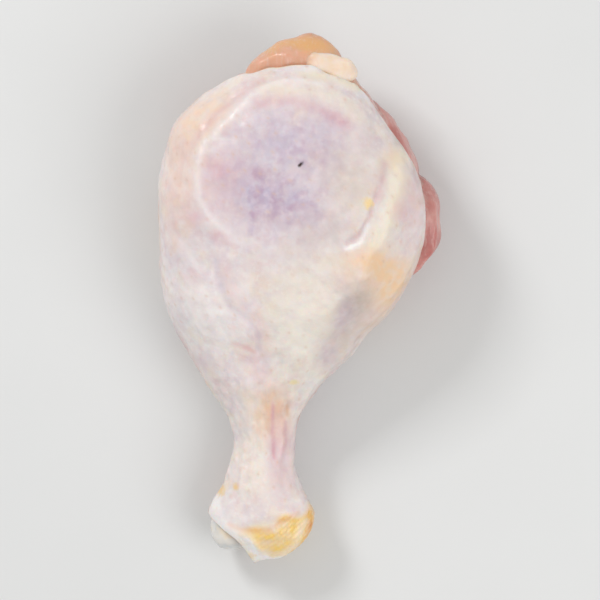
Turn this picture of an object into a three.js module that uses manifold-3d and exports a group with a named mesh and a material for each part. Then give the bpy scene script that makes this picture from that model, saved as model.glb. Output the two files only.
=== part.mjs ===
// A raw chicken drumstick lying on its side, in millimetres.
// +Z is up, +Y runs from the hock to the knee, +X is the side where the flesh shows beside the skin.
// The origin is the middle of the footprint, on the surface that the drumstick lies on.
//
// skin      a sleeve round the leg, open at the hock and along the slanting cut at the knee
// meat      the calf and shin muscles, swollen out beyond the skin at the knee cut
// bone      the tibia: a shaft with a gristle-capped head at the knee and another at the hock
// fat_pad   the pad of fat in front of the knee joint
import * as THREE from 'three';
import { mergeVertices } from 'three/addons/utils/BufferGeometryUtils.js';
import Module from 'manifold-3d';

const wasm = await Module();
wasm.setup();

// ---- Driving dimensions ----
// Every x and y is measured from the tip of the hock end. MIDDLE is where the footprint's middle lies.

const LENGTH = 134; // hock tip to the end of the flesh at the knee
const MIDDLE = { x: 1.4, y: 67.5 };
const SKIN = 1.5; // thickness of the skin with the fat under it
const GAP = 0.45; // clearance between the skin and the flesh
const BONE_GAP = 0.3; // clearance round the bone and the fat pad
const SHAFT_R = 4.3; // tibia shaft

// How far the leg reaches to each side at stations up it, before the two ends are rounded.
const STATIONS = [
  { y: 0, left: -20.5, right: 0.5, top: 15.5, bottom: 3 }, // hock tip
  { y: 12, left: -22.6, right: 4.8, top: 19.6, bottom: -0.4 }, // hock knob
  { y: 22, left: -17.4, right: 0.5, top: 18.9, bottom: 3 },
  { y: 30, left: -15.8, right: 0, top: 18.8, bottom: 4.2 }, // shank
  { y: 38, left: -17.6, right: 1.6, top: 20.4, bottom: 4 },
  { y: 46, left: -22.4, right: 7.6, top: 24.2, bottom: 2.4 },
  { y: 55, left: -28.2, right: 15.8, top: 29, bottom: 0.6 },
  { y: 65, left: -32.8, right: 24.6, top: 34, bottom: -0.8 },
  { y: 76, left: -34.6, right: 31.4, top: 38.4, bottom: -1.2 },
  { y: 88, left: -34.8, right: 34.2, top: 41.4, bottom: -1.2 }, // belly of the calf
  { y: 100, left: -34.4, right: 32, top: 42.2, bottom: -0.4 },
  { y: 112, left: -31, right: 25, top: 40, bottom: 4 },
  { y: 122, left: -23, right: 21.3, top: 35.5, bottom: 10 },
  { y: LENGTH, left: -12, right: 19, top: 30, bottom: 17 }, // knee
];
const HOCK_ROUND = { from: 9, power: 2.6 }; // the end dome starts this far up the leg
const KNEE_ROUND = { from: 110, power: 2 };
const WIDEST_AT = 0.4; // height of the widest line, as a share of the thickness
const SQUARENESS = { shank: 2, calf: 2.2 }; // exponents of the cross-section's superellipse
const CALF = { from: 35, over: 30 }; // the shank's section turns into the calf's over this stretch
const PRESS = { height: 35.5, keep: 0.45, blend: 2 }; // the calf's top is pressed nearly flat

// Where the skin ends, as distances up the leg at angles round it: 0 is +X, 90 is the top.
const KNEE_EDGE = [
  [0, 70], [7, 76], [12, 85.5], [16, 98], [20, 109.5], [27, 118.8], [42, 123], [68, 125], [90, 126.6],
  [130, 125], [160, 122.4], [180, 118.5], [210, 110], [240, 99], [270, 91], [300, 82], [330, 72], [350, 67],
];
const HOCK_EDGE = [
  [0, 2], [60, 1], [84, 0.2], [98, 0.2], [107, 3.2], [119, 6.4], [141, 9.8], [180, 13.4], [222, 12],
  [262, 6], [300, 3],
];

// Low forms on the skin's top side: the crease and the fold beside it, the rim of the calf's flat top, and
// the groove beside the tibia. Each has a height, a half-width and a centreline of x, y points.
const FOLDS = [
  { height: -0.65, width: 2, line: [[24.8, 101], [24.4, 97], [22, 91.5], [18.6, 85], [15, 80.8]] },
  { height: 0.45, width: 2.8, line: [[27, 100], [26.8, 95], [24, 86], [19, 78.5]] },
  {
    height: 0.4,
    width: 2.6,
    line: [[-20.2, 84.6], [-24.6, 97], [-22.2, 106], [-10.6, 118], [0, 122], [12, 118]],
  },
  { height: -0.5, width: 3, line: [[-4.4, 50], [-4.8, 38], [-6.2, 26]] },
];
const FOLD_FADE = 0.4; // the folds fade out where the skin's normal rises less than this

// Ends of the muscles at the knee cut: where each one is, how far it spreads and how far it stands out.
const MUSCLES = [
  { at: [35, 86, 13], spread: [9, 15.5, 9], height: 3.7 }, // shows beside the skin
  { at: [29, 105, 15], spread: [9, 10, 8], height: 0.4 },
  { at: [23, 103, 4], spread: [10, 13, 10], height: 2.6 },
  { at: [0, 103, 2], spread: [15, 14, 9], height: 3 }, // the broad tongue below the joint
  { at: [-20, 109, 5], spread: [9, 11, 8], height: 2.5 },
  { at: [-26, 116, 15], spread: [7, 9, 8], height: 0.6 },
  { at: [17, 118, 11], spread: [7, 8, 8], height: 0.6 },
  { at: [1, 131.5, 28], spread: [20, 9, 8], height: 1.8 }, // the flap past the skin's top edge
];
const MUSCLE_BASE = -1; // flesh between the muscles, against the skin's outer face
const MUSCLE_DOME = 0.7; // how steeply a muscle's end rises at its edge: 0.5 is round, 1 is softer
const SWELLING = { from: 0.6, over: 3.2 }; // the flesh swells out over this stretch past the skin's edge
const LEAST_RADIUS = 4; // of the leg, where its edges' slopes are measured
const DISH = { at: [-1, 131, 14.5], spread: [15, 9, 7.5], depth: 3.2 }; // hollow in the flesh at the joint

// Rounded pieces: where each one is, its half-sizes and how far it is turned about the vertical. Some have
// a valley across the middle, which makes two lobes: its width, and how much it takes off depth and height.
const KNEE_HEAD = {
  at: [-1, 119.9, 15.4], radii: [14, 10.9, 8.7], turn: 2, valley: { width: 0.3, depth: 0.17, height: 0.18 },
};
const HOCK_HEAD = {
  at: [-13.1, 8.9, 8.9], radii: [8.5, 6.4, 6.2], turn: 10, valley: { width: 0.35, depth: 0.2, height: 0.2 },
};
const FAT_PAD = {
  at: [9.3, 126.9, 27.8], radii: [7.3, 2.6, 2.6], turn: -17, valley: { width: 0.3, depth: 0.06, height: 0.1 },
};
const KNEE_FLARE = { at: [-2, 107, 16.6], radii: [9.4, 15, 7.4] }; // the shaft widens into the knee head
const HOCK_FLARE = { at: [-10.8, 15, 10], radii: [5.6, 8, 5.4] };
const SHAFT_PATH = [[-10.4, 14, 10.4], [-8, 30, 11.4], [-5.4, 70, 14.5], [-2, 112, 17]];

// Facets
const ROUND = 48; // round the leg
const SKIN_ROWS = 29; // from the skin's edge at the hock to its edge at the knee
const CUT_ROWS = 11; // from that edge to the end of the flesh
const FIRST_MEAT_ROW = 3; // the flesh begins this many rows above the hock
const ROW_CROWDING = 0.7; // rows lie closer together near both edges, where the leg turns in
const COLUMN_CROWDING = { at: 10, share: 0.4 }; // and columns round this angle, where the cut runs up the leg

// ---- The leg's form ----

const smoothstep = (t) => {
  const c = Math.min(1, Math.max(0, t));
  return c * c * (3 - 2 * c);
};

// Value at x of a smooth curve through the [x, value] knots; it repeats after `period` where one is given.
function curveThrough(knots, x, period = 0) {
  const n = knots.length;
  const knot = (i) => {
    if (!period) return knots[Math.min(n - 1, Math.max(0, i))];
    const turn = Math.floor(i / n);
    const [kx, kv] = knots[i - turn * n];
    return [kx + turn * period, kv];
  };
  let i = period ? -1 : 0;
  while (i < n - 2 + (period ? 1 : 0) && knot(i + 1)[0] <= x) i += 1;
  const [x0, v0] = knot(i);
  const [x1, v1] = knot(i + 1);
  const slope = (a, b) => (b[0] === a[0] ? 0 : (b[1] - a[1]) / (b[0] - a[0]));
  const m0 = slope(knot(i - 1), knot(i + 1));
  const m1 = slope(knot(i), knot(i + 2));
  const h = x1 - x0;
  const t = (x - x0) / h;
  return v0 * (2 * t ** 3 - 3 * t ** 2 + 1) + m0 * h * (t ** 3 - 2 * t ** 2 + t)
    + v1 * (3 * t ** 2 - 2 * t ** 3) + m1 * h * (t ** 3 - t ** 2);
}

const reach = Object.fromEntries(['left', 'right', 'top', 'bottom'].map((side) => [
  side, (y) => curveThrough(STATIONS.map((s) => [s.y, s[side]]), y),
]));

// 1 along the leg, falling to 0 in a round dome at each end.
function endRounding(y) {
  const hock = Math.max(0, (HOCK_ROUND.from - y) / HOCK_ROUND.from);
  const knee = Math.max(0, (y - KNEE_ROUND.from) / (LENGTH - KNEE_ROUND.from));
  return Math.sqrt(Math.max(0, 1 - hock ** HOCK_ROUND.power - knee ** KNEE_ROUND.power));
}

// The calf's top pressed down towards a plane, with a soft start.
function pressed(z) {
  const over = z - PRESS.height;
  const soft = PRESS.blend * Math.log1p(Math.exp(over / PRESS.blend));
  return z - (1 - PRESS.keep) * soft;
}

// Point of the smooth leg at a distance up it and an angle round it, in radians.
function legPoint(y, angle) {
  const round = endRounding(y);
  const calf = smoothstep((y - CALF.from) / CALF.over);
  const power = 2 / (SQUARENESS.shank + (SQUARENESS.calf - SQUARENESS.shank) * calf);
  const left = reach.left(y);
  const right = reach.right(y);
  const top = reach.top(y);
  const bottom = reach.bottom(y);
  const widest = bottom + (top - bottom) * (0.5 + (WIDEST_AT - 0.5) * calf);
  const c = Math.cos(angle);
  const s = Math.sin(angle);
  const across = Math.sign(c) * Math.abs(c) ** power;
  const up = Math.sign(s) * Math.abs(s) ** power;
  const x = (left + right) / 2 + ((right - left) / 2) * across * round;
  const z = widest + (up > 0 ? top - widest : widest - bottom) * up * round;
  return new THREE.Vector3(x, y, pressed(z));
}

// Outward normal of the smooth leg.
function legNormal(y, angle) {
  const step = 0.01;
  const inside = Math.min(LENGTH - 2 * step, Math.max(2 * step, y));
  const along = legPoint(inside + step, angle).sub(legPoint(inside - step, angle));
  const around = legPoint(inside, angle + step).sub(legPoint(inside, angle - step));
  return along.cross(around).normalize();
}

function distanceToLine(x, y, line) {
  let nearest = Infinity;
  for (let i = 0; i < line.length - 1; i += 1) {
    const [ax, ay] = line[i];
    const [bx, by] = line[i + 1];
    const t = Math.min(1, Math.max(0,
      ((x - ax) * (bx - ax) + (y - ay) * (by - ay)) / ((bx - ax) ** 2 + (by - ay) ** 2)));
    nearest = Math.min(nearest, Math.hypot(x - ax - t * (bx - ax), y - ay - t * (by - ay)));
  }
  return nearest;
}

// Height of the folds and creases at a point whose normal is given; they are on the top side only.
function foldHeight(p, normal) {
  const facingUp = smoothstep(normal.z / FOLD_FADE);
  const total = FOLDS.reduce(
    (sum, f) => sum + f.height * Math.exp(-((distanceToLine(p.x, p.y, f.line) / f.width) ** 2)), 0);
  return total * facingUp;
}

// The leg's outer face moved out by `offset`, and kept clear of the surface that the drumstick lies on.
function legFace(y, angle, offset) {
  const normal = legNormal(y, angle);
  const p = legPoint(y, angle);
  p.addScaledVector(normal, foldHeight(p, normal) + offset);
  p.z = Math.max(p.z, -offset, 0);
  return p;
}

const degrees = (angle) => ((THREE.MathUtils.radToDeg(angle) % 360) + 360) % 360;
const kneeEdge = (angle) => curveThrough(KNEE_EDGE, degrees(angle), 360);
const hockEdge = (angle) => curveThrough(HOCK_EDGE, degrees(angle), 360);

// How far a point is past the skin's edge at the knee, measured square to that edge.
function pastEdge(y, angle) {
  const step = 0.02;
  const p = legPoint(y, angle);
  const arc = p.distanceTo(legPoint(y, angle + step)) / step;
  const slope = (kneeEdge(angle + step) - kneeEdge(angle - step)) / (2 * step * Math.max(LEAST_RADIUS, arc));
  return (y - kneeEdge(angle)) / Math.hypot(1, slope);
}

// How far into a rounded form a point is: 1 at its middle and 0 at its edge.
function within(p, { at, spread }) {
  const d = Math.hypot(...at.map((c, i) => (p.getComponent(i) - c) / spread[i]));
  return Math.max(0, 1 - d * d);
}

// Height of the bare flesh at the knee cut over the leg's outer face.
function fleshHeight(p) {
  const muscles = MUSCLES.map((m) => MUSCLE_BASE + (m.height - MUSCLE_BASE) * within(p, m) ** MUSCLE_DOME);
  return Math.max(MUSCLE_BASE, ...muscles) - DISH.depth * within(p, DISH);
}

function meatFace(y, angle) {
  const under = -(SKIN + GAP);
  const bare = smoothstep((pastEdge(y, angle) - SWELLING.from) / SWELLING.over);
  return legFace(y, angle, under + (fleshHeight(legPoint(y, angle)) - under) * bare);
}

// ---- Building solids ----

// Places on the leg's face, as rows that run round it: the skin's from edge to edge, then those of the knee
// cut. The skin and the flesh share them, so that their facets match and the gap between them stays even.
const angles = Array.from({ length: ROUND }, (_, j) => {
  const a = (2 * Math.PI * j) / ROUND;
  return a - COLUMN_CROWDING.share * Math.sin(a) + THREE.MathUtils.degToRad(COLUMN_CROWDING.at);
});
const skinRows = Array.from({ length: SKIN_ROWS + 1 }, (_, i) => {
  const t = i / SKIN_ROWS;
  const share = t - (ROW_CROWDING * Math.sin(2 * Math.PI * t)) / (2 * Math.PI);
  return angles.map((a) => ({ a, y: THREE.MathUtils.lerp(hockEdge(a), kneeEdge(a), share) }));
});
const cutRows = Array.from({ length: CUT_ROWS }, (_, i) => {
  const share = Math.sin((Math.PI / 2) * ((i + 1) / (CUT_ROWS + 1)));
  return angles.map((a) => ({ a, y: THREE.MathUtils.lerp(kneeEdge(a), LENGTH, share) }));
});

// The triangles between two rows of places, split along their shorter diagonals. `first` and `second` are
// the numbers of the rows' first vertices.
function band(row, beyond, first, second) {
  return row.flatMap((place, j) => {
    const k = (j + 1) % ROUND;
    const leansBack = Math.abs(row[k].y - beyond[j].y) < Math.abs(beyond[k].y - place.y);
    return leansBack
      ? [first + j, second + j, first + k, first + k, second + j, second + k]
      : [first + j, second + j, second + k, first + j, second + k, first + k];
  });
}

// A closed mesh through rows of places, whose points `pointAt` gives. It comes back to the first row, or has
// a fan of triangles over each end.
function rowsToGeometry(rows, pointAt, comesBack) {
  const points = rows.flatMap((row, i) => row.map((place) => pointAt(place, i)));
  const index = rows.flatMap((row, i) => {
    const next = (i + 1) % rows.length;
    return next === 0 && !comesBack ? [] : band(row, rows[next], i * ROUND, next * ROUND);
  });
  if (!comesBack) {
    [0, rows.length - 1].forEach((i) => {
      const ring = points.slice(i * ROUND, (i + 1) * ROUND);
      const turned = i > 0 ? 1 : 0;
      ring.forEach((_, j) => {
        index.push(points.length, i * ROUND + ((j + turned) % ROUND), i * ROUND + ((j + 1 - turned) % ROUND));
      });
      points.push(ring.reduce((sum, p) => sum.add(p), new THREE.Vector3()).divideScalar(ROUND));
    });
  }
  const geometry = new THREE.BufferGeometry().setFromPoints(points);
  geometry.setIndex(index);
  return geometry;
}

// The same solid as a manifold-3d one, for joins and cuts.
function toSolid(geometry) {
  const bare = geometry.clone();
  bare.deleteAttribute('normal');
  bare.deleteAttribute('uv');
  const merged = mergeVertices(bare, 1e-4);
  return new wasm.Manifold(new wasm.Mesh({
    numProp: 3,
    vertProperties: new Float32Array(merged.attributes.position.array),
    triVerts: new Uint32Array(merged.index.array),
  }));
}

function toGeometry(solid) {
  const { numProp, vertProperties, triVerts } = solid.getMesh();
  const geometry = new THREE.BufferGeometry();
  const positions = new Float32Array((vertProperties.length / numProp) * 3);
  for (let i = 0; i < positions.length / 3; i += 1) {
    positions.set(vertProperties.subarray(i * numProp, i * numProp + 3), i * 3);
  }
  geometry.setAttribute('position', new THREE.BufferAttribute(positions, 3));
  geometry.setIndex(new THREE.BufferAttribute(new Uint32Array(triVerts), 1));
  return geometry;
}

// The skin: its outer face from hock to knee, then its inner face back again.
function skinGeometry() {
  const there = skinRows.length;
  const pointAt = ({ y, a }, i) => legFace(y, a, i < there ? 0 : -SKIN);
  return rowsToGeometry([...skinRows, ...skinRows.toReversed()], pointAt, true);
}

// The flesh, from above the hock to the end of the knee cut.
function meatGeometry() {
  const pointAt = ({ y, a }) => meatFace(y, a);
  return rowsToGeometry([...skinRows.slice(FIRST_MEAT_ROW), ...cutRows], pointAt, false);
}

// The main body of a solid, without the scraps that a cut leaves.
const largest = (solid) => solid.decompose().reduce((a, b) => (a.volume() > b.volume() ? a : b));

function lump({ at, radii, turn = 0, valley }, grow = 0, round = 20, rings = 12) {
  const geometry = new THREE.SphereGeometry(1, round, rings);
  if (valley) {
    const { position } = geometry.attributes;
    for (let i = 0; i < position.count; i += 1) {
      const share = Math.exp(-((position.getX(i) / valley.width) ** 2));
      position.setY(i, position.getY(i) * (1 - valley.depth * share));
      position.setZ(i, position.getZ(i) * (1 - valley.height * share));
    }
  }
  geometry.scale(...radii.map((r) => r + grow));
  geometry.rotateZ(THREE.MathUtils.degToRad(turn));
  return toSolid(geometry.translate(...at));
}

// A round bar along a curve through points.
function bar(path, radius, steps = 14, sides = 10) {
  const curve = new THREE.CatmullRomCurve3(path.map((p) => new THREE.Vector3(...p)));
  const shape = new THREE.Shape().absarc(0, 0, radius, 0, 2 * Math.PI);
  return toSolid(new THREE.ExtrudeGeometry(shape, { steps, curveSegments: sides / 2, extrudePath: curve }));
}

function boneSolid(grow = 0) {
  return [KNEE_HEAD, KNEE_FLARE, HOCK_HEAD, HOCK_FLARE].reduce(
    (solid, head) => solid.add(lump(head, grow)), bar(SHAFT_PATH, SHAFT_R + grow));
}

// ---- The drumstick ----

const materials = {
  skin: new THREE.MeshStandardMaterial({ color: 0xe6dcd6, roughness: 0.32, metalness: 0 }),
  meat: new THREE.MeshStandardMaterial({ color: 0xc98a88, roughness: 0.3, metalness: 0 }),
  bone: new THREE.MeshStandardMaterial({ color: 0xebeae3, roughness: 0.25, metalness: 0 }),
  fat: new THREE.MeshStandardMaterial({ color: 0xeed8b4, roughness: 0.35, metalness: 0 }),
};

function piece(name, geometry, material) {
  const mesh = new THREE.Mesh(geometry.translate(-MIDDLE.x, -MIDDLE.y, 0), material);
  mesh.name = name;
  return mesh;
}

const bone = boneSolid();
const boneRoom = boneSolid(BONE_GAP);
const fatPad = lump(FAT_PAD).subtract(boneRoom);
const meatRoom = boneRoom.add(lump(FAT_PAD, BONE_GAP));
const meat = largest(toSolid(meatGeometry()).subtract(meatRoom));

const drumstick = new THREE.Group();
drumstick.name = 'drumstick';
drumstick.add(
  piece('skin', skinGeometry(), materials.skin),
  piece('meat', toGeometry(meat), materials.meat),
  piece('bone', toGeometry(bone), materials.bone),
  piece('fat_pad', toGeometry(fatPad), materials.fat),
);

export default drumstick;
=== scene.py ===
"""A raw chicken drumstick, lying on its side on a pale surface.

Lengths here are millimetres from the tip of the hock end: x runs across the leg, y runs up it from the
hock to the knee and z is height over the surface. `to_frame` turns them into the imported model's metres.
"""

import logging
import math
from collections.abc import Mapping
from dataclasses import dataclass
from enum import Enum
from functools import cached_property

import bpy
import numpy as np
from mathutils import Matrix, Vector
from mathutils.kdtree import KDTree


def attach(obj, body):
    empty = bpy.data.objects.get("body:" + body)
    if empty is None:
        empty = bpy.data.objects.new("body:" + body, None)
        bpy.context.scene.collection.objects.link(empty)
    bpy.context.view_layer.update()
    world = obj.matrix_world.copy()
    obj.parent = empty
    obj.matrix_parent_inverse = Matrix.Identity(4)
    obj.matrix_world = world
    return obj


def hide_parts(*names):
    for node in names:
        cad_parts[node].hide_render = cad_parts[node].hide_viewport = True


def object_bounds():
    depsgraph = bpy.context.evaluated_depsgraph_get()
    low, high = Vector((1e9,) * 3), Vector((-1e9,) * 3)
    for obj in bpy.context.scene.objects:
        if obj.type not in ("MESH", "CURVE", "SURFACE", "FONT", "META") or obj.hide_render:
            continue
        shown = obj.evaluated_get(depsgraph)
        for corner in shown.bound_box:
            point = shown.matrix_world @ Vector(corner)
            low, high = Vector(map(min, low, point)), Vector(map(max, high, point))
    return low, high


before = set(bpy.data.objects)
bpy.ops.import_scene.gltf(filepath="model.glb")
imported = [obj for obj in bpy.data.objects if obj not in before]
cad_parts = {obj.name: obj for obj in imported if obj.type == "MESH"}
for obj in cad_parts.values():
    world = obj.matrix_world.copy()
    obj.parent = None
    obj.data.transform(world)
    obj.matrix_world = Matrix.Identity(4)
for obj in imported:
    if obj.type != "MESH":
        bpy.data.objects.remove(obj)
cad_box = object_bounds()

log = logging.getLogger("drumstick")

MM = 0.001
BODY = "root"

Pair = tuple[float, float]
Triple = tuple[float, float, float]
Line = tuple[tuple[float, float], ...]
Faces = list[tuple[int, ...]]
Socket = bpy.types.NodeSocket
Value = float | tuple[float, ...] | Socket

# ---- Small tools ----


def linear(colour: str) -> tuple[float, float, float, float]:
    """Turns an sRGB hex colour into linear values.

    Args:
        colour: Six hex digits, with or without a leading #.

    Returns:
        Red, green, blue and an alpha of 1.
    """
    digits = colour.lstrip("#")
    parts = [int(digits[i:i + 2], 16) / 255 for i in (0, 2, 4)]
    red, green, blue = [p / 12.92 if p <= 0.04045 else ((p + 0.055) / 1.055) ** 2.4 for p in parts]
    return (red, green, blue, 1.0)


def ease(value: np.ndarray, start: float, end: float) -> np.ndarray:
    """Rises smoothly from 0 where a value is at the start to 1 where it is at the end."""
    t = np.clip((value - start) / (end - start), 0, 1)
    return t * t * (3 - 2 * t)


def bell(away: np.ndarray, width: float) -> np.ndarray:
    """1 at no distance, a third of that at the width and next to nothing at twice the width."""
    return np.exp(-((away / width) ** 2))


def above(z: np.ndarray, floor: float, soft: float = 0.3) -> np.ndarray:
    """Heights kept above a floor, with a soft bend where they meet it."""
    return floor + 0.5 * (z - floor + np.sqrt((z - floor) ** 2 + soft**2))


@dataclass(frozen=True)
class Ripple:
    """An irregular smooth pattern made of plane waves in random directions.

    Attributes:
        height: About how far it swings to either side.
        size: Typical distance between neighbouring crests.
        seed: Picks the pattern.
        grain: How strongly it changes along x, y and z. A small value draws it out that way.
        waves: Number of waves.
        lengths: The shortest and the longest wave, as shares of the size.
    """

    height: float
    size: float
    seed: int
    grain: Triple = (1, 1, 1)
    waves: int = 18
    lengths: Pair = (0.7, 1.6)

    def at(self, points: np.ndarray) -> np.ndarray:
        """The pattern's value at each place.

        Args:
            points: Places, with x, y and z last.

        Returns:
            Values of about minus the height to plus the height.
        """
        rng = np.random.default_rng(self.seed)
        directions = rng.normal(size=(self.waves, 3))
        directions /= np.linalg.norm(directions, axis=1, keepdims=True)
        turns = 2 * np.pi / (self.size * rng.uniform(*self.lengths, self.waves))
        phases = rng.uniform(0, 2 * np.pi, self.waves)
        angles = (points * np.array(self.grain)) @ (directions * turns[:, None]).T + phases
        return self.height * (np.sin(angles).sum(axis=-1) / math.sqrt(self.waves))


@dataclass(frozen=True)
class SmoothCurve:
    """A smooth curve through (x, value) knots, which repeats where it has a period."""

    knots: Line
    period: float = 0.0

    def __call__(self, x: np.ndarray) -> np.ndarray:
        """The curve's value.

        Args:
            x: Where to read it.

        Returns:
            The value at each x.
        """
        at, value = np.array(self.knots, float).T
        if self.period:
            x = np.mod(x, self.period)
            at = np.concatenate([at[-2:] - self.period, at, at[:2] + self.period])
            value = np.concatenate([value[-2:], value, value[:2]])
        slope = np.gradient(value, at)
        slope[1:-1] = (value[2:] - value[:-2]) / (at[2:] - at[:-2])
        i = np.clip(np.searchsorted(at, x, side="right") - 1, 0, len(at) - 2)
        h = at[i + 1] - at[i]
        t = (x - at[i]) / h
        return (
            value[i] * (2 * t**3 - 3 * t**2 + 1) + slope[i] * h * (t**3 - 2 * t**2 + t)
            + value[i + 1] * (3 * t**2 - 2 * t**3) + slope[i + 1] * h * (t**3 - t**2)
        )


def distance_to_line(points: np.ndarray, line: Line, parts: int = 8) -> np.ndarray:
    """Distance in plan from places to a smooth line.

    Args:
        points: Places, with x, y and z last.
        line: The x and y of a few points on the line.
        parts: Straight parts between two of these points.

    Returns:
        Each place's distance.
    """
    x, y = points[..., 0], points[..., 1]
    knots = np.array(line, float)
    steps = np.arange(len(knots))
    fine = np.linspace(0, len(knots) - 1, parts * (len(knots) - 1) + 1)
    across = SmoothCurve(tuple(zip(steps, knots[:, 0])))(fine)
    along = SmoothCurve(tuple(zip(steps, knots[:, 1])))(fine)
    nearest = np.full(np.shape(x), np.inf)
    for ax, ay, bx, by in zip(across[:-1], along[:-1], across[1:], along[1:]):
        length = (bx - ax) ** 2 + (by - ay) ** 2
        t = np.clip(((x - ax) * (bx - ax) + (y - ay) * (by - ay)) / length, 0, 1)
        nearest = np.minimum(nearest, np.hypot(x - ax - t * (bx - ax), y - ay - t * (by - ay)))
    return nearest


# ---- The leg's form ----


@dataclass(frozen=True)
class Fold:
    """A low ridge on the leg's top side, or a crease where its height is negative."""

    height: float
    width: float
    line: Line

    def relief(self, points: np.ndarray) -> np.ndarray:
        """Height that the fold adds at each place."""
        return self.height * bell(distance_to_line(points, self.line), self.width)


@dataclass(frozen=True)
class Muscle:
    """The end of a muscle at the knee cut: its middle, how far it spreads and how far it stands out."""

    at: Triple
    spread: Triple
    height: float

    def away(self, points: np.ndarray) -> np.ndarray:
        """Distance of each place from the muscle's middle, 1 where the muscle ends."""
        return np.linalg.norm((points - np.array(self.at)) / np.array(self.spread), axis=-1)


@dataclass(frozen=True)
class LegForm:
    """The drumstick's smooth form, which its skin and flesh share.

    Attributes:
        length: From the tip of the hock to the far end of the knee.
        middle: Middle of the footprint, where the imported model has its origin.
        stations: Places up the leg at which the next four say how far it reaches.
        left: The x of its left side.
        right: The x of its right side.
        top: The z of its top.
        bottom: The z of its underside.
        hock_round: How far from its end the hock is rounded, and how squarely.
        knee_round: Where the rounding of the knee starts, and how square it is.
        calf: Where the section starts to turn from the shank's to the calf's, and where it has turned.
        widest_at: Height at which the calf is widest, as a share of its depth.
        squareness: How square the section is at the shank and at the calf. 2 is an ellipse.
        press: Height above which the top is pressed flat, the share that stays, and how soft the bend is.
        crowding: Angle in degrees where the vertices round the leg lie closest, and how much closer.
        facing: How steeply a face has to look up for the folds to show in full.
        knee_edge: Where the skin ends at the knee, by the angle round the leg in degrees.
        hock_edge: The same at the hock.
        unevenness: Height, waves round the leg and shift of each part of the edges' unevenness.
        hock_evenness: Share of that which the hock's edge has.
        folds: The broad folds of the top side.
    """

    length: float = 134
    middle: Pair = (1.4, 67.5)
    stations: tuple[float, ...] = (0, 12, 22, 30, 38, 46, 55, 65, 76, 88, 100, 112, 122, 134)
    left: tuple[float, ...] = (
        -20.5, -22.6, -17.4, -15.8, -17.6, -22.4, -28.2, -32.8, -34.6, -34.8, -34.4, -31, -23, -12)
    right: tuple[float, ...] = (0.5, 4.8, 0.5, 0, 1.6, 7.6, 15.8, 24.6, 31.4, 34.2, 32, 25, 21.3, 19)
    top: tuple[float, ...] = (15.5, 19.6, 18.9, 18.8, 20.4, 24.2, 29, 34, 38.4, 41.4, 42.2, 40, 35.5, 30)
    bottom: tuple[float, ...] = (3, -0.4, 3, 4.2, 4, 2.4, 0.6, -0.8, -1.2, -1.2, -0.4, 4, 10, 17)
    hock_round: Pair = (9, 2.6)
    knee_round: Pair = (110, 2)
    calf: Pair = (35, 65)
    widest_at: float = 0.4
    squareness: Pair = (2, 2.2)
    press: Triple = (35.5, 0.45, 2)
    crowding: Pair = (10, 0.35)
    facing: float = 0.4
    knee_edge: SmoothCurve = SmoothCurve((
        (0, 70), (7, 76), (12, 85.5), (16, 98), (20, 109.5), (27, 118.8), (42, 123), (68, 125),
        (90, 126.6), (130, 125), (160, 122.4), (180, 118.5), (210, 110), (240, 99), (270, 91), (300, 82),
        (330, 72), (350, 67)), 360)
    hock_edge: SmoothCurve = SmoothCurve((
        (0, 2), (60, 1), (84, 0.2), (98, 0.2), (107, 3.2), (119, 6.4), (141, 9.8), (180, 13.4), (222, 12),
        (262, 6), (300, 3)), 360)
    unevenness: tuple[Triple, ...] = ((0.35, 5, 1), (0.3, 9, 2.4), (0.16, 16, 0))
    hock_evenness: float = 0.3
    folds: tuple[Fold, ...] = (
        Fold(-0.65, 2, ((24.8, 101), (24.4, 97), (22, 91.5), (18.6, 85), (15, 80.8))),
        Fold(0.45, 2.8, ((27, 100), (26.8, 95), (24, 86), (19, 78.5))),
        Fold(0.4, 2.6, ((-20.2, 84.6), (-24.6, 97), (-22.2, 106), (-10.6, 118), (0, 122), (12, 118))),
        Fold(-0.5, 3, ((-4.4, 50), (-4.8, 38), (-6.2, 26))),
    )

    @cached_property
    def reach(self) -> dict[str, SmoothCurve]:
        """How far the leg reaches to each side, as curves up the leg."""
        sides = {"left": self.left, "right": self.right, "top": self.top, "bottom": self.bottom}
        return {side: SmoothCurve(tuple(zip(self.stations, values))) for side, values in sides.items()}

    def point(self, y: np.ndarray, angle: np.ndarray) -> np.ndarray:
        """Places on the smooth leg.

        Args:
            y: Distances up the leg.
            angle: Angles round it in radians: 0 is +x and a quarter turn is the top.

        Returns:
            The places, with x, y and z last.
        """
        hock = np.maximum(0, (self.hock_round[0] - y) / self.hock_round[0])
        knee = np.maximum(0, (y - self.knee_round[0]) / (self.length - self.knee_round[0]))
        shrink = np.sqrt(np.maximum(0, 1 - hock ** self.hock_round[1] - knee ** self.knee_round[1]))
        calf = ease(y, *self.calf)
        power = 2 / (self.squareness[0] + (self.squareness[1] - self.squareness[0]) * calf)
        left, right, top, bottom = (self.reach[side](y) for side in ("left", "right", "top", "bottom"))
        widest = bottom + (top - bottom) * (0.5 + (self.widest_at - 0.5) * calf)
        c, s = np.cos(angle), np.sin(angle)
        x = (left + right) / 2 + (right - left) / 2 * np.sign(c) * np.abs(c) ** power * shrink
        up = np.sign(s) * np.abs(s) ** power * shrink
        z = widest + np.where(up > 0, top - widest, widest - bottom) * up
        height, keep, blend = self.press
        z = z - (1 - keep) * blend * np.log1p(np.exp((z - height) / blend))
        return np.stack(np.broadcast_arrays(x, y, z), axis=-1)

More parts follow.
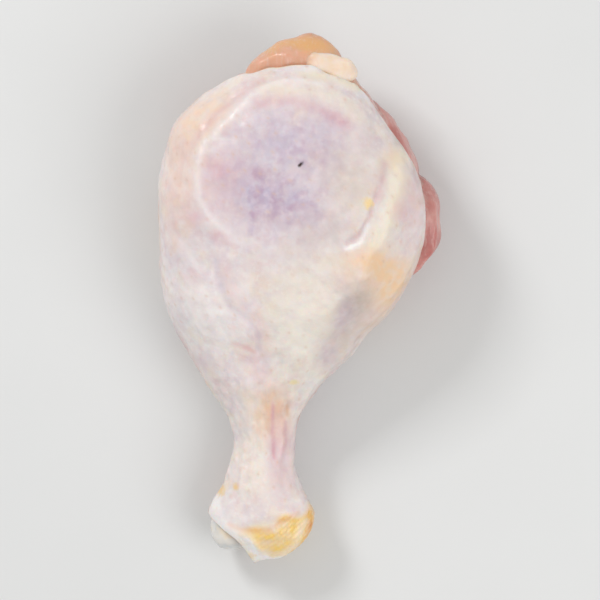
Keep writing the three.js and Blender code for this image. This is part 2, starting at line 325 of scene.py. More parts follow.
    def normal(self, y: np.ndarray, angle: np.ndarray, step: float = 0.01) -> np.ndarray:
        """Outward normals of the smooth leg.

        Args:
            y: Distances up the leg.
            angle: Angles round it, in radians.
            step: How far to either side, in millimetres and in radians, the slope is read.

        Returns:
            The normals, of length 1.
        """
        inside = np.clip(y, 2 * step, self.length - 2 * step)
        along = self.point(inside + step, angle) - self.point(inside - step, angle)
        around = self.point(inside, angle + step) - self.point(inside, angle - step)
        normal = np.cross(along, around)
        return normal / np.linalg.norm(normal, axis=-1, keepdims=True)

    def facing_up(self, normal: np.ndarray) -> np.ndarray:
        """How far each place belongs to the top side, from its normal."""
        return ease(normal[..., 2], 0, self.facing)

    def face(
        self, y: np.ndarray, angle: np.ndarray, offset: np.ndarray, more: np.ndarray | float = 0
    ) -> np.ndarray:
        """The leg's outer face with its folds, moved out or in.

        Args:
            y: Distances up the leg.
            angle: Angles round it, in radians.
            offset: Distance from the outer face, negative inside it.
            more: Fine relief on top of that.

        Returns:
            The places, none of them below the surface that the leg lies on.
        """
        normal = self.normal(y, angle)
        points = self.point(y, angle)
        folds = sum(fold.relief(points) for fold in self.folds) * self.facing_up(normal)
        points = points + normal * (folds + offset + more)[..., None]
        points[..., 2] = np.maximum(above(points[..., 2], 0), np.maximum(-offset, 0))
        return points

    def around(self, columns: int) -> np.ndarray:
        """Angles of the vertices round the leg, in radians, closest where the knee's edge is steep."""
        turn = 2 * np.pi * np.arange(columns) / columns
        return turn - self.crowding[1] * np.sin(turn) + math.radians(self.crowding[0])

    def edges(self, angle: np.ndarray) -> tuple[np.ndarray, np.ndarray]:
        """Where the skin ends, a little unevenly.

        Args:
            angle: Angles round the leg, in radians.

        Returns:
            How far up the leg the edge at the hock and the edge at the knee lie.
        """
        degrees = np.degrees(angle)
        uneven = sum(height * np.sin(waves * angle + shift) for height, waves, shift in self.unevenness)
        return self.hock_edge(degrees) + self.hock_evenness * uneven, self.knee_edge(degrees) + uneven

    def to_frame(self, points: np.ndarray) -> np.ndarray:
        """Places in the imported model's frame, in metres."""
        return (points - np.array([self.middle[0], self.middle[1], 0])) * MM


# ---- Meshes ----


def rows_to_faces(rows: int, columns: int, comes_back: bool) -> Faces:
    """Faces of a closed mesh through rows of vertices that run round it.

    Args:
        rows: Number of rows.
        columns: Vertices in each row.
        comes_back: Whether the last row joins the first. Otherwise two more vertices close the ends.

    Returns:
        The faces, pointing outwards where the rows run up the leg.
    """
    i, j = np.meshgrid(np.arange(rows if comes_back else rows - 1), np.arange(columns), indexing="ij")
    here, above_it = i * columns, (i + 1) % rows * columns
    k = (j + 1) % columns
    quads = np.stack([here + j, above_it + j, above_it + k, here + k], axis=-1).reshape(-1, 4)
    faces = [tuple(quad) for quad in quads.tolist()]
    if not comes_back:
        hubs, last = rows * columns, (rows - 1) * columns
        around = [(c, (c + 1) % columns) for c in range(columns)]
        faces += [(hubs, a, b) for a, b in around] + [(hubs + 1, last + b, last + a) for a, b in around]
    return faces


def hold_mark(piece: bpy.types.Object, mark: str, values: np.ndarray) -> None:
    """Stores a value at each vertex of a piece for its finish to read."""
    attribute = piece.data.attributes.new(mark, "FLOAT", "POINT")
    attribute.data.foreach_set("value", np.ravel(values).astype(np.float32))


def make_object(
    name: str, points: np.ndarray, faces: Faces, marks: Mapping[str, np.ndarray]
) -> bpy.types.Object:
    """Makes a smooth-shaded mesh object.

    Args:
        name: The piece's name.
        points: Vertices in metres, with x, y and z last.
        faces: Vertex numbers of each face.
        marks: Values at each vertex that the finish reads by name.

    Returns:
        The object, in the scene.
    """
    mesh = bpy.data.meshes.new(name)
    mesh.from_pydata(points.reshape(-1, 3).tolist(), [], faces)
    mesh.shade_smooth()
    mesh.validate()
    made = bpy.data.objects.new(name, mesh)
    bpy.context.scene.collection.objects.link(made)
    for mark, values in marks.items():
        hold_mark(made, mark, values)
    return made


def fused(pieces: list[bpy.types.Object], name: str, voxel: float, smoothing: int) -> bpy.types.Object:
    """Fuses overlapping pieces into one soft-edged skin of even faces.

    Args:
        pieces: The overlapping pieces, which are used up.
        name: Name of the result.
        voxel: Size of its faces, in millimetres.
        smoothing: Rounds of smoothing over the joins.

    Returns:
        The fused object.
    """
    first = pieces[0]
    with bpy.context.temp_override(active_object=first, object=first, selected_editable_objects=pieces):
        bpy.ops.object.join()
    remesh = first.modifiers.new("fuse", "REMESH")
    remesh.mode = "VOXEL"
    remesh.voxel_size = voxel * MM
    soften = first.modifiers.new("soften", "SMOOTH")
    soften.factor = 0.5
    soften.iterations = smoothing
    done = bpy.data.meshes.new_from_object(first.evaluated_get(bpy.context.evaluated_depsgraph_get()))
    bpy.data.objects.remove(first)
    done.name = name
    done.shade_smooth()
    made = bpy.data.objects.new(name, done)
    bpy.context.scene.collection.objects.link(made)
    return made


def roughen(piece: bpy.types.Object, ripples: tuple[Ripple, ...]) -> np.ndarray:
    """Moves a piece's vertices in and out along their normals.

    Args:
        piece: The piece.
        ripples: The patterns that it gets, in millimetres.

    Returns:
        Where the vertices were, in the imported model's frame but in millimetres.
    """
    count = len(piece.data.vertices)
    places, normals = np.zeros(count * 3), np.zeros(count * 3)
    piece.data.vertices.foreach_get("co", places)
    piece.data.vertices.foreach_get("normal", normals)
    millimetres = places.reshape(-1, 3) / MM
    relief = sum(ripple.at(millimetres) for ripple in ripples)
    moved = places.reshape(-1, 3) + normals.reshape(-1, 3) * relief[:, None] * MM
    piece.data.vertices.foreach_set("co", np.ravel(moved))
    return millimetres


def dress(piece: bpy.types.Object, material: bpy.types.Material) -> None:
    """Gives a piece its material, and leaves it no other."""
    piece.data.materials.clear()
    piece.data.materials.append(material)


# ---- Finishes ----


class Tone(Enum):
    """What gives the skin its colour at a place. The grey and amber tones also carry painted shade, and the
    film tone painted highlights and painted light.
    """

    LEAN = "lean"
    BLUSH = "blush"
    PEACH = "peach"
    CREAM = "cream"
    # Grey tone: the skin's own grey on the disc's right part, and painted shade along the calf's right side
    # and in the groove under the disc.
    DUSK = "dusk"
    SCALE = "scale"
    # Orange tone: the skin's own orange, and painted shade by the calf's right edge, along the scales'
    # upper edge and where the hock's skin curls under.
    AMBER = "amber"
    # Pale membrane, with painted highlights on ridges and painted light on the calf's left side and the
    # shank.
    FILM = "film"


@dataclass(frozen=True)
class Fleck:
    """Irregular patches of a colour.

    Attributes:
        colour: The colour.
        size: About how far across a patch is.
        most: How far the colour covers in the middle of a patch.
        detail: How finely the patches' edges break up.
        shows: The pattern's values where a patch starts and where it is at its strongest.
        mark: The mesh's mark that the patches are kept to, if any.
    """

    colour: str
    size: float
    most: float = 1
    detail: float = 3
    shows: Pair = (0.48, 0.72)
    mark: str = ""


@dataclass(frozen=True)
class Spot:
    """A small oval of colour on the skin, for its own marks and for one painted highlight.

    Attributes:
        colour: The colour.
        at: The oval's middle.
        half: Half its width, length and depth.
        turn: How far it is turned, in degrees.
        fades: Distances from the middle where it starts and is full, in shares of its half sizes.
        ragged: How far its edge strays, and the size of that pattern in millimetres.
    """

    colour: str
    at: Triple
    half: Triple
    turn: float = 0
    fades: Pair = (1.6, 0.3)
    ragged: Pair = (0.3, 1.1)


def add_node(
    tree: bpy.types.NodeTree, kind: str, inputs: Mapping[str | int, Value] | None = None, **settings: object
) -> bpy.types.Node:
    """Adds a shader node.

    Args:
        tree: The material's node tree.
        kind: The node's type, without the words ShaderNode.
        inputs: A value, or the output to link, for each input's name or number.
        **settings: The node's other properties.

    Returns:
        The node.
    """
    made = tree.nodes.new("ShaderNode" + kind)
    for name, setting in settings.items():
        setattr(made, name, setting)
    for name, value in (inputs or {}).items():
        if isinstance(value, Socket):
            tree.links.new(value, made.inputs[name])
        else:
            made.inputs[name].default_value = value
    return made


@dataclass
class Brush:
    """Lays colours over each other in a material's node tree."""

    tree: bpy.types.NodeTree
    colour: Value

    @cached_property
    def place(self) -> Socket:
        """Places on the object, in metres."""
        return add_node(self.tree, "TexCoord").outputs["Object"]

    def mark(self, name: str) -> Socket:
        """A value that the mesh holds at each vertex."""
        return add_node(self.tree, "Attribute", attribute_name=name).outputs["Fac"]

    def stretched(self, grain: Triple) -> Socket:
        """Places drawn out along the axes where the grain is small."""
        return add_node(self.tree, "Mapping", {"Vector": self.place, "Scale": grain}).outputs["Vector"]

    def noise(self, size: float, detail: float = 2, at: Socket | None = None) -> Socket:
        """An irregular pattern of 0 to 1 whose patches are about `size` millimetres across."""
        inputs = {"Vector": at or self.place, "Scale": 1 / (size * MM), "Detail": detail}
        return add_node(self.tree, "TexNoise", inputs).outputs["Fac"]

    def between(self, value: Value, low: float, high: float, to: Pair = (0, 1)) -> Socket:
        """Eases a value from one range to another."""
        inputs = {"Value": value, "From Min": low, "From Max": high, "To Min": to[0], "To Max": to[1]}
        return add_node(self.tree, "MapRange", inputs, interpolation_type="SMOOTHSTEP").outputs["Result"]

    def calculate(self, kind: str, first: Value, second: Value) -> Socket:
        """One step of arithmetic, such as ADD or MULTIPLY."""
        return add_node(self.tree, "Math", {0: first, 1: second}, operation=kind).outputs["Value"]

    def oval(self, spot: Spot) -> Socket:
        """How strongly a spot shows.

        Args:
            spot: The spot.

        Returns:
            1 in the spot, easing to 0 outside it.
        """
        inputs = {
            "Vector": self.place, "Location": tuple(LegForm().to_frame(np.array(spot.at))),
            "Rotation": (0, 0, math.radians(spot.turn)), "Scale": tuple(half * MM for half in spot.half)}
        local = add_node(self.tree, "Mapping", inputs, vector_type="TEXTURE").outputs["Vector"]
        away = add_node(self.tree, "VectorMath", {0: local}, operation="LENGTH").outputs["Value"]
        strays, size = spot.ragged
        ragged = self.between(self.noise(size), 0.3, 0.7, (-strays, strays))
        return self.between(self.calculate("ADD", away, ragged), *spot.fades)

    def lay(self, colour: str, amount: Value) -> None:
        """Lays a colour over what is there, as far as the amount says."""
        # Inputs 6 and 7 and output 2 are the ones that a mix of colours uses.
        inputs = {"Factor": amount, 6: self.colour, 7: linear(colour)}
        self.colour = add_node(self.tree, "Mix", inputs, data_type="RGBA").outputs[2]

    def lay_marked(self, colour: str, mark: str, amount: Value) -> None:
        """Lays a colour as far as both a mark of the mesh and the amount say."""
        self.lay(colour, self.calculate("MULTIPLY", self.mark(mark), amount))

    def lay_flecks(self, flecks: tuple[Fleck, ...]) -> None:
        """Lays irregular patches of colours, in order.

        Args:
            flecks: The patches.
        """
        for fleck in flecks:
            patchy = self.between(self.noise(fleck.size, fleck.detail), *fleck.shows, (0, fleck.most))
            if fleck.mark:
                self.lay_marked(fleck.colour, fleck.mark, patchy)
            else:
                self.lay(fleck.colour, patchy)

    def raised(self, height: Value, depth: float, over: Socket | None = None) -> Socket:
        """A bumped normal.

        Args:
            height: The relief's pattern.
            depth: How far a height of 1 stands out, in millimetres.
            over: A normal that the relief lies on.

        Returns:
            The normal.
        """
        inputs = {"Height": height, "Distance": depth * MM, "Strength": 1.0}
        if over is not None:
            inputs["Normal"] = over
        return add_node(self.tree, "Bump", inputs).outputs["Normal"]

    def finish(self, shader: bpy.types.Node, normal: Socket | None = None, **values: Value) -> None:
        """Joins the colours to the shader and sets the shader's own sockets.

        Args:
            shader: The material's shader.
            normal: The normal that carries the fine relief.
            **values: The shader's other values, each by its socket's name with underscores for spaces.
        """
        self.tree.links.new(self.colour, shader.inputs["Base Color"])
        if normal is not None:
            self.tree.links.new(normal, shader.inputs["Normal"])
        for name, value in values.items():
            shader.inputs[name.replace("_", " ")].default_value = value


def new_material(name: str, colour: str) -> tuple[bpy.types.Material, bpy.types.Node, Brush]:
    """Makes a material that has nothing on it yet.

    Args:
        name: The material's name.
        colour: Its ground colour.

    Returns:
        The material, its Principled shader, and a brush with the ground colour on it.
    """
    material = bpy.data.materials.new(name)
    material.use_nodes = True
    tree = material.node_tree
    return material, tree.nodes["Principled BSDF"], Brush(tree, linear(colour))


@dataclass(frozen=True)
class PoultrySkin:
    """Raw poultry skin: a wet, thin, translucent sheet over fat and muscle.

    It looks pale and milky, goes lilac where lean flesh lies close under it and cream or peach over fat,
    and has a soft film of moisture that catches the light.

    Attributes:
        pale: Its ground colour.
        flecks: Patches of slightly other colours on it, before the tones.
        tones: Colour of each tone, in the order in which they are laid.
        veils: Bluish, reddish and pale mottle where lean flesh shows through.
        spots_and_highlight: Yellow spots, a painted highlight at the crease's hook and a dark speck.
        follicle: Colour in the middle of a feather follicle.
        follicle_tint: How strongly that shows.
        fat_side: Colour of the inner face.
        mottle_mm: Size of the mottle that breaks up the tones.
        broken: How strongly the tones show where the mottle is low and where it is high.
        roughness: The roughness there.
        wrinkles: Size and depth of the finest wrinkles.
        pores: Size and depth of the pores.
    """

    pale: str = "#e8dcda"
    flecks: tuple[Fleck, ...] = (
        Fleck("#efe6e5", 9, shows=(0.42, 0.66)), Fleck("#dad5df", 7, 0.4), Fleck("#cfbcc9", 4.2, 0.36),
        Fleck("#e2bfc0", 3, 0.34), Fleck("#efdfc9", 5.4, 0.5), Fleck("#f4edeb", 1.3, 0.38))
    tones: tuple[tuple[Tone, str], ...] = (
        (Tone.CREAM, "#f0e6d0"), (Tone.PEACH, "#f4cfa9"), (Tone.DUSK, "#cbbcb1"), (Tone.BLUSH, "#dcb0b5"),
        (Tone.LEAN, "#c0adbf"), (Tone.SCALE, "#fad27a"), (Tone.AMBER, "#e09a58"), (Tone.FILM, "#f6f1ef"))
    veils: tuple[Fleck, ...] = tuple(
        Fleck(colour, size, most, 2, (0.42, 0.7), Tone.LEAN.value)
        for colour, size, most in (("#c5c3d6", 5, 0.4), ("#b591ab", 2.8, 0.5), ("#efe7ee", 2.2, 0.26)))
    spots_and_highlight: tuple[Spot, ...] = (
        Spot("#f0d295", (18.5, 91.5, 36.6), (1.3, 1.2, 3)),
        Spot("#f0d09a", (-18.9, 18.5, 13.4), (1.2, 1.6, 2.4), 20),
        Spot("#efcfa0", (-15, 19.5, 17.2), (0.8, 0.9, 3)),
        Spot("#f0deb4", (-0.3, 46.4, 23.1), (1.1, 0.6, 3)),
        # Painted highlight: a pale streak at the crease's hook.
        Spot("#f9f5f1", (14.9, 81, 35.6), (2, 0.45, 3), 25),
        Spot("#3a2622", (1.5, 101.4, 38.4), (0.75, 0.4, 3), 40),
    )
    follicle: str = "#d9b9a6"
    follicle_tint: float = 0.5
    fat_side: str = "#f2e0c6"
    mottle_mm: float = 2.6
    broken: Pair = (0.62, 1.12)
    roughness: Pair = (0.3, 0.44)
    # Real ones lie about 0.2 mm apart. They are drawn coarser, so that they show.
    wrinkles: Pair = (0.8, 0.06)
    pores: Pair = (0.3, 0.02)

    def material(self) -> bpy.types.Material:
        """Builds the skin's material: tones broken up by a mottle, with veils, spots, a painted highlight
        and fine wrinkles.

        Returns:
            The material, which reads the tones' marks and the marks follicle and inner.
        """
        material, shader, brush = new_material("raw_poultry_skin", self.pale)
        brush.lay_flecks(self.flecks)
        mottle = brush.noise(self.mottle_mm, 4)
        broken = brush.between(mottle, 0.28, 0.68, self.broken)
        for tone, colour in self.tones:
            brush.lay_marked(colour, tone.value, broken)
        brush.lay_flecks(self.veils)
        brush.lay_marked(self.follicle, "follicle", self.follicle_tint)
        # Yellow spots and a dark speck of the skin's own, and a painted highlight at the crease's hook.
        for spot in self.spots_and_highlight:
            brush.lay(spot.colour, brush.oval(spot))
        brush.lay(self.fat_side, brush.mark("inner"))
        (wrinkle_size, wrinkle_depth), (pore_size, pore_depth) = self.wrinkles, self.pores
        wrinkled = brush.raised(brush.noise(wrinkle_size, 3), wrinkle_depth)
        normal = brush.raised(brush.noise(pore_size, 2), pore_depth, wrinkled)
        roughness = brush.between(mottle, 0.3, 0.7, self.roughness)
        brush.tree.links.new(roughness, shader.inputs["Roughness"])
        brush.finish(
            shader, normal, IOR=1.4, Subsurface_Weight=0.3, Subsurface_Radius=(1.0, 0.45, 0.3),
            Subsurface_Scale=2.2 * MM, Coat_Weight=0.35, Coat_Roughness=0.22, Coat_IOR=1.33)
        return material


@dataclass(frozen=True)
class RawFlesh:
    """Raw dark poultry meat, cut at the joint.

    It shows pink bundles of fibres in pale films, and is wet and translucent.

    Attributes:
        pink: Its ground colour.
        deep: Patches of deeper red.
        film: Colour of the films round the muscles.
        film_mm: Size of the breaks in them.
        tan: Colour of the flap past the skin's top edge.
        rosy: Colour that the flap turns to.
        fibre_mm: Width of a bundle of fibres.
        along: How strongly the bundles change along x, y and z. They are drawn out up the leg.
        fibre_depth: How far they stand out.
        grain: Size and depth of the wet surface's unevenness.
    """

    pink: str = "#d0918a"
    deep: Fleck = Fleck("#bb706c", 6, 0.75, shows=(0.4, 0.7))
    film: str = "#e4c4bc"
    film_mm: float = 2
    tan: str = "#e2b07b"
    rosy: str = "#dba898"
    # Real bundles are about 0.3 mm wide. They are drawn coarser, so that they show.
    fibre_mm: float = 0.9
    along: Triple = (1, 0.14, 1)
    fibre_depth: float = 0.18
    grain: Pair = (1.6, 0.15)

    def material(self) -> bpy.types.Material:
        """Builds the flesh's material.

        Returns:
            The material, which reads the marks film, tan and rosy.
        """
        material, shader, brush = new_material("raw_dark_meat", self.pink)
        fibres = brush.noise(self.fibre_mm, 3, brush.stretched(self.along))
        brush.lay_flecks((self.deep,))
        brush.lay(self.film, brush.between(fibres, 0.5, 0.72, (0, 0.4)))
        brush.lay_flecks((Fleck(self.film, self.film_mm, 1, 4, (0.3, 0.6), "film"),))
        brush.lay(self.tan, brush.mark("tan"))
        brush.lay(self.rosy, brush.mark("rosy"))
        brush.lay_marked(self.film, "tan", brush.between(fibres, 0.5, 0.8, (0, 0.45)))
        fibrous = brush.raised(fibres, self.fibre_depth)
        size, depth = self.grain
        brush.finish(
            shader, brush.raised(brush.noise(size, 3), depth, fibrous), Roughness=0.3, IOR=1.4,
            Subsurface_Weight=0.35, Subsurface_Radius=(1.0, 0.25, 0.2), Subsurface_Scale=2.5 * MM,
            Coat_Weight=0.4, Coat_Roughness=0.1, Coat_IOR=1.33)
        return material


@dataclass(frozen=True)
class Gristle:
    """The gristle caps of a joint: smooth bluish white, translucent and slick.

    Attributes:
        white: Its ground colour.
        flecks: Bluish and cream patches, and rosy ones where flesh clings to it.
        grain: Size and depth of its faint waviness.
    """

    white: str = "#e9e5df"
    flecks: tuple[Fleck, ...] = (
        Fleck("#ced4d7", 5, 0.7, 2, (0.42, 0.66)), Fleck("#efdfc6", 3.4, 0.7, shows=(0.5, 0.72)),
        Fleck("#e6c3ba", 3, 1, 3, (0.32, 0.72), "root"))
    grain: Pair = (1.6, 0.14)

    def material(self) -> bpy.types.Material:
        """Builds the gristle's material.

        Returns:
            The material, which reads the mark root.
        """
        material, shader, brush = new_material("joint_gristle", self.white)
        brush.lay_flecks(self.flecks)
        size, depth = self.grain
        brush.finish(
            shader, brush.raised(brush.noise(size, 3), depth), Roughness=0.24, IOR=1.42,
            Subsurface_Weight=0.4, Subsurface_Radius=(1.0, 0.9, 0.8), Subsurface_Scale=1.5 * MM,
            Coat_Weight=0.4, Coat_Roughness=0.08, Coat_IOR=1.33)
        return material


@dataclass(frozen=True)
class SoftFat:
    """Raw poultry fat: cream-coloured, in small soft lobules under a thin film.

    Attributes:
        cream: Its ground colour.
        yellow: Yellower patches.
        rosy: Colour where it meets the flesh.
        lobules: Size and depth of the lobules.
    """

    cream: str = "#eedbcb"
    yellow: Fleck = Fleck("#ecd2b4", 3, 0.7, shows=(0.4, 0.7))
    rosy: str = "#e3b498"
    lobules: Pair = (1.3, 0.1)

    def material(self) -> bpy.types.Material:
        """Builds the fat's material.

        Returns:
            The material, which reads the mark root.
        """
        material, shader, brush = new_material("raw_poultry_fat", self.cream)
        brush.lay_flecks((self.yellow,))
        brush.lay(self.rosy, brush.mark("root"))
        size, depth = self.lobules
        inputs = {"Vector": brush.place, "Scale": 1 / (size * MM)}
        lobules = add_node(brush.tree, "TexVoronoi", inputs, feature="SMOOTH_F1").outputs["Distance"]
        brush.finish(
            shader, brush.raised(lobules, -depth), Roughness=0.42, IOR=1.45, Subsurface_Weight=0.4,
            Subsurface_Radius=(1.0, 0.7, 0.4), Subsurface_Scale=1.6 * MM, Coat_Weight=0.2,
            Coat_Roughness=0.2, Coat_IOR=1.33)
        return material


@dataclass(frozen=True)
class PaleBoard:
    """A matt painted board: an even, almost white surface with no sheen.

    Attributes:
        white: Its ground colour.
        shade: Colour of faint broad patches on it.
        shade_mm: Their size.
    """

    white: str = "#e1e2e2"
    shade: str = "#dddede"
    shade_mm: float = 40

    def material(self) -> bpy.types.Material:
        """Builds the board's material.

        Returns:
            The material.
        """
        material, shader, brush = new_material("matt_painted_board", self.white)
        brush.lay(self.shade, brush.noise(self.shade_mm))
        brush.finish(shader, Roughness=0.8)
        return material


# ---- The drumstick's pieces ----


@dataclass(frozen=True)
class Patch:
    """A soft-edged oval on the skin's top side: its middle, half its width and length, and its turn."""

    at: Pair
    half: Pair
    turn: float = 0
    strength: float = 1

    def amount(self, points: np.ndarray) -> np.ndarray:
        """How strongly the patch shows.

        Args:
            points: Places, with x, y and z last.

        Returns:
            0 to the patch's strength at each place.
        """
        c, s = math.cos(math.radians(self.turn)), math.sin(math.radians(self.turn))
        x, y = points[..., 0] - self.at[0], points[..., 1] - self.at[1]
        u = (x * c + y * s) / self.half[0]
        v = (y * c - x * s) / self.half[1]
        return self.strength * np.exp(-((u * u + v * v) ** 1.4))


@dataclass(frozen=True)
class Streak:
    """A soft line on the skin's top side."""

    line: Line
    width: float
    strength: float = 1

    def amount(self, points: np.ndarray) -> np.ndarray:
        """How strongly the streak shows at each place."""
        return self.strength * bell(distance_to_line(points, self.line), self.width)


@dataclass(frozen=True)
class Tint:
    """Where one tone shows on the skin's top side."""

    tone: Tone
    places: tuple[Patch | Streak, ...]


RING: Line = (
    (-16.8, 84), (-18.8, 85.6), (-21.8, 89), (-23.8, 92.8), (-24.5, 97.5), (-24.2, 102.5), (-22.4, 106.2),
    (-18.6, 110.4), (-13.7, 115.2), (-10.6, 118.5), (-5.2, 121.5), (0, 122.6), (7, 121.4),
)


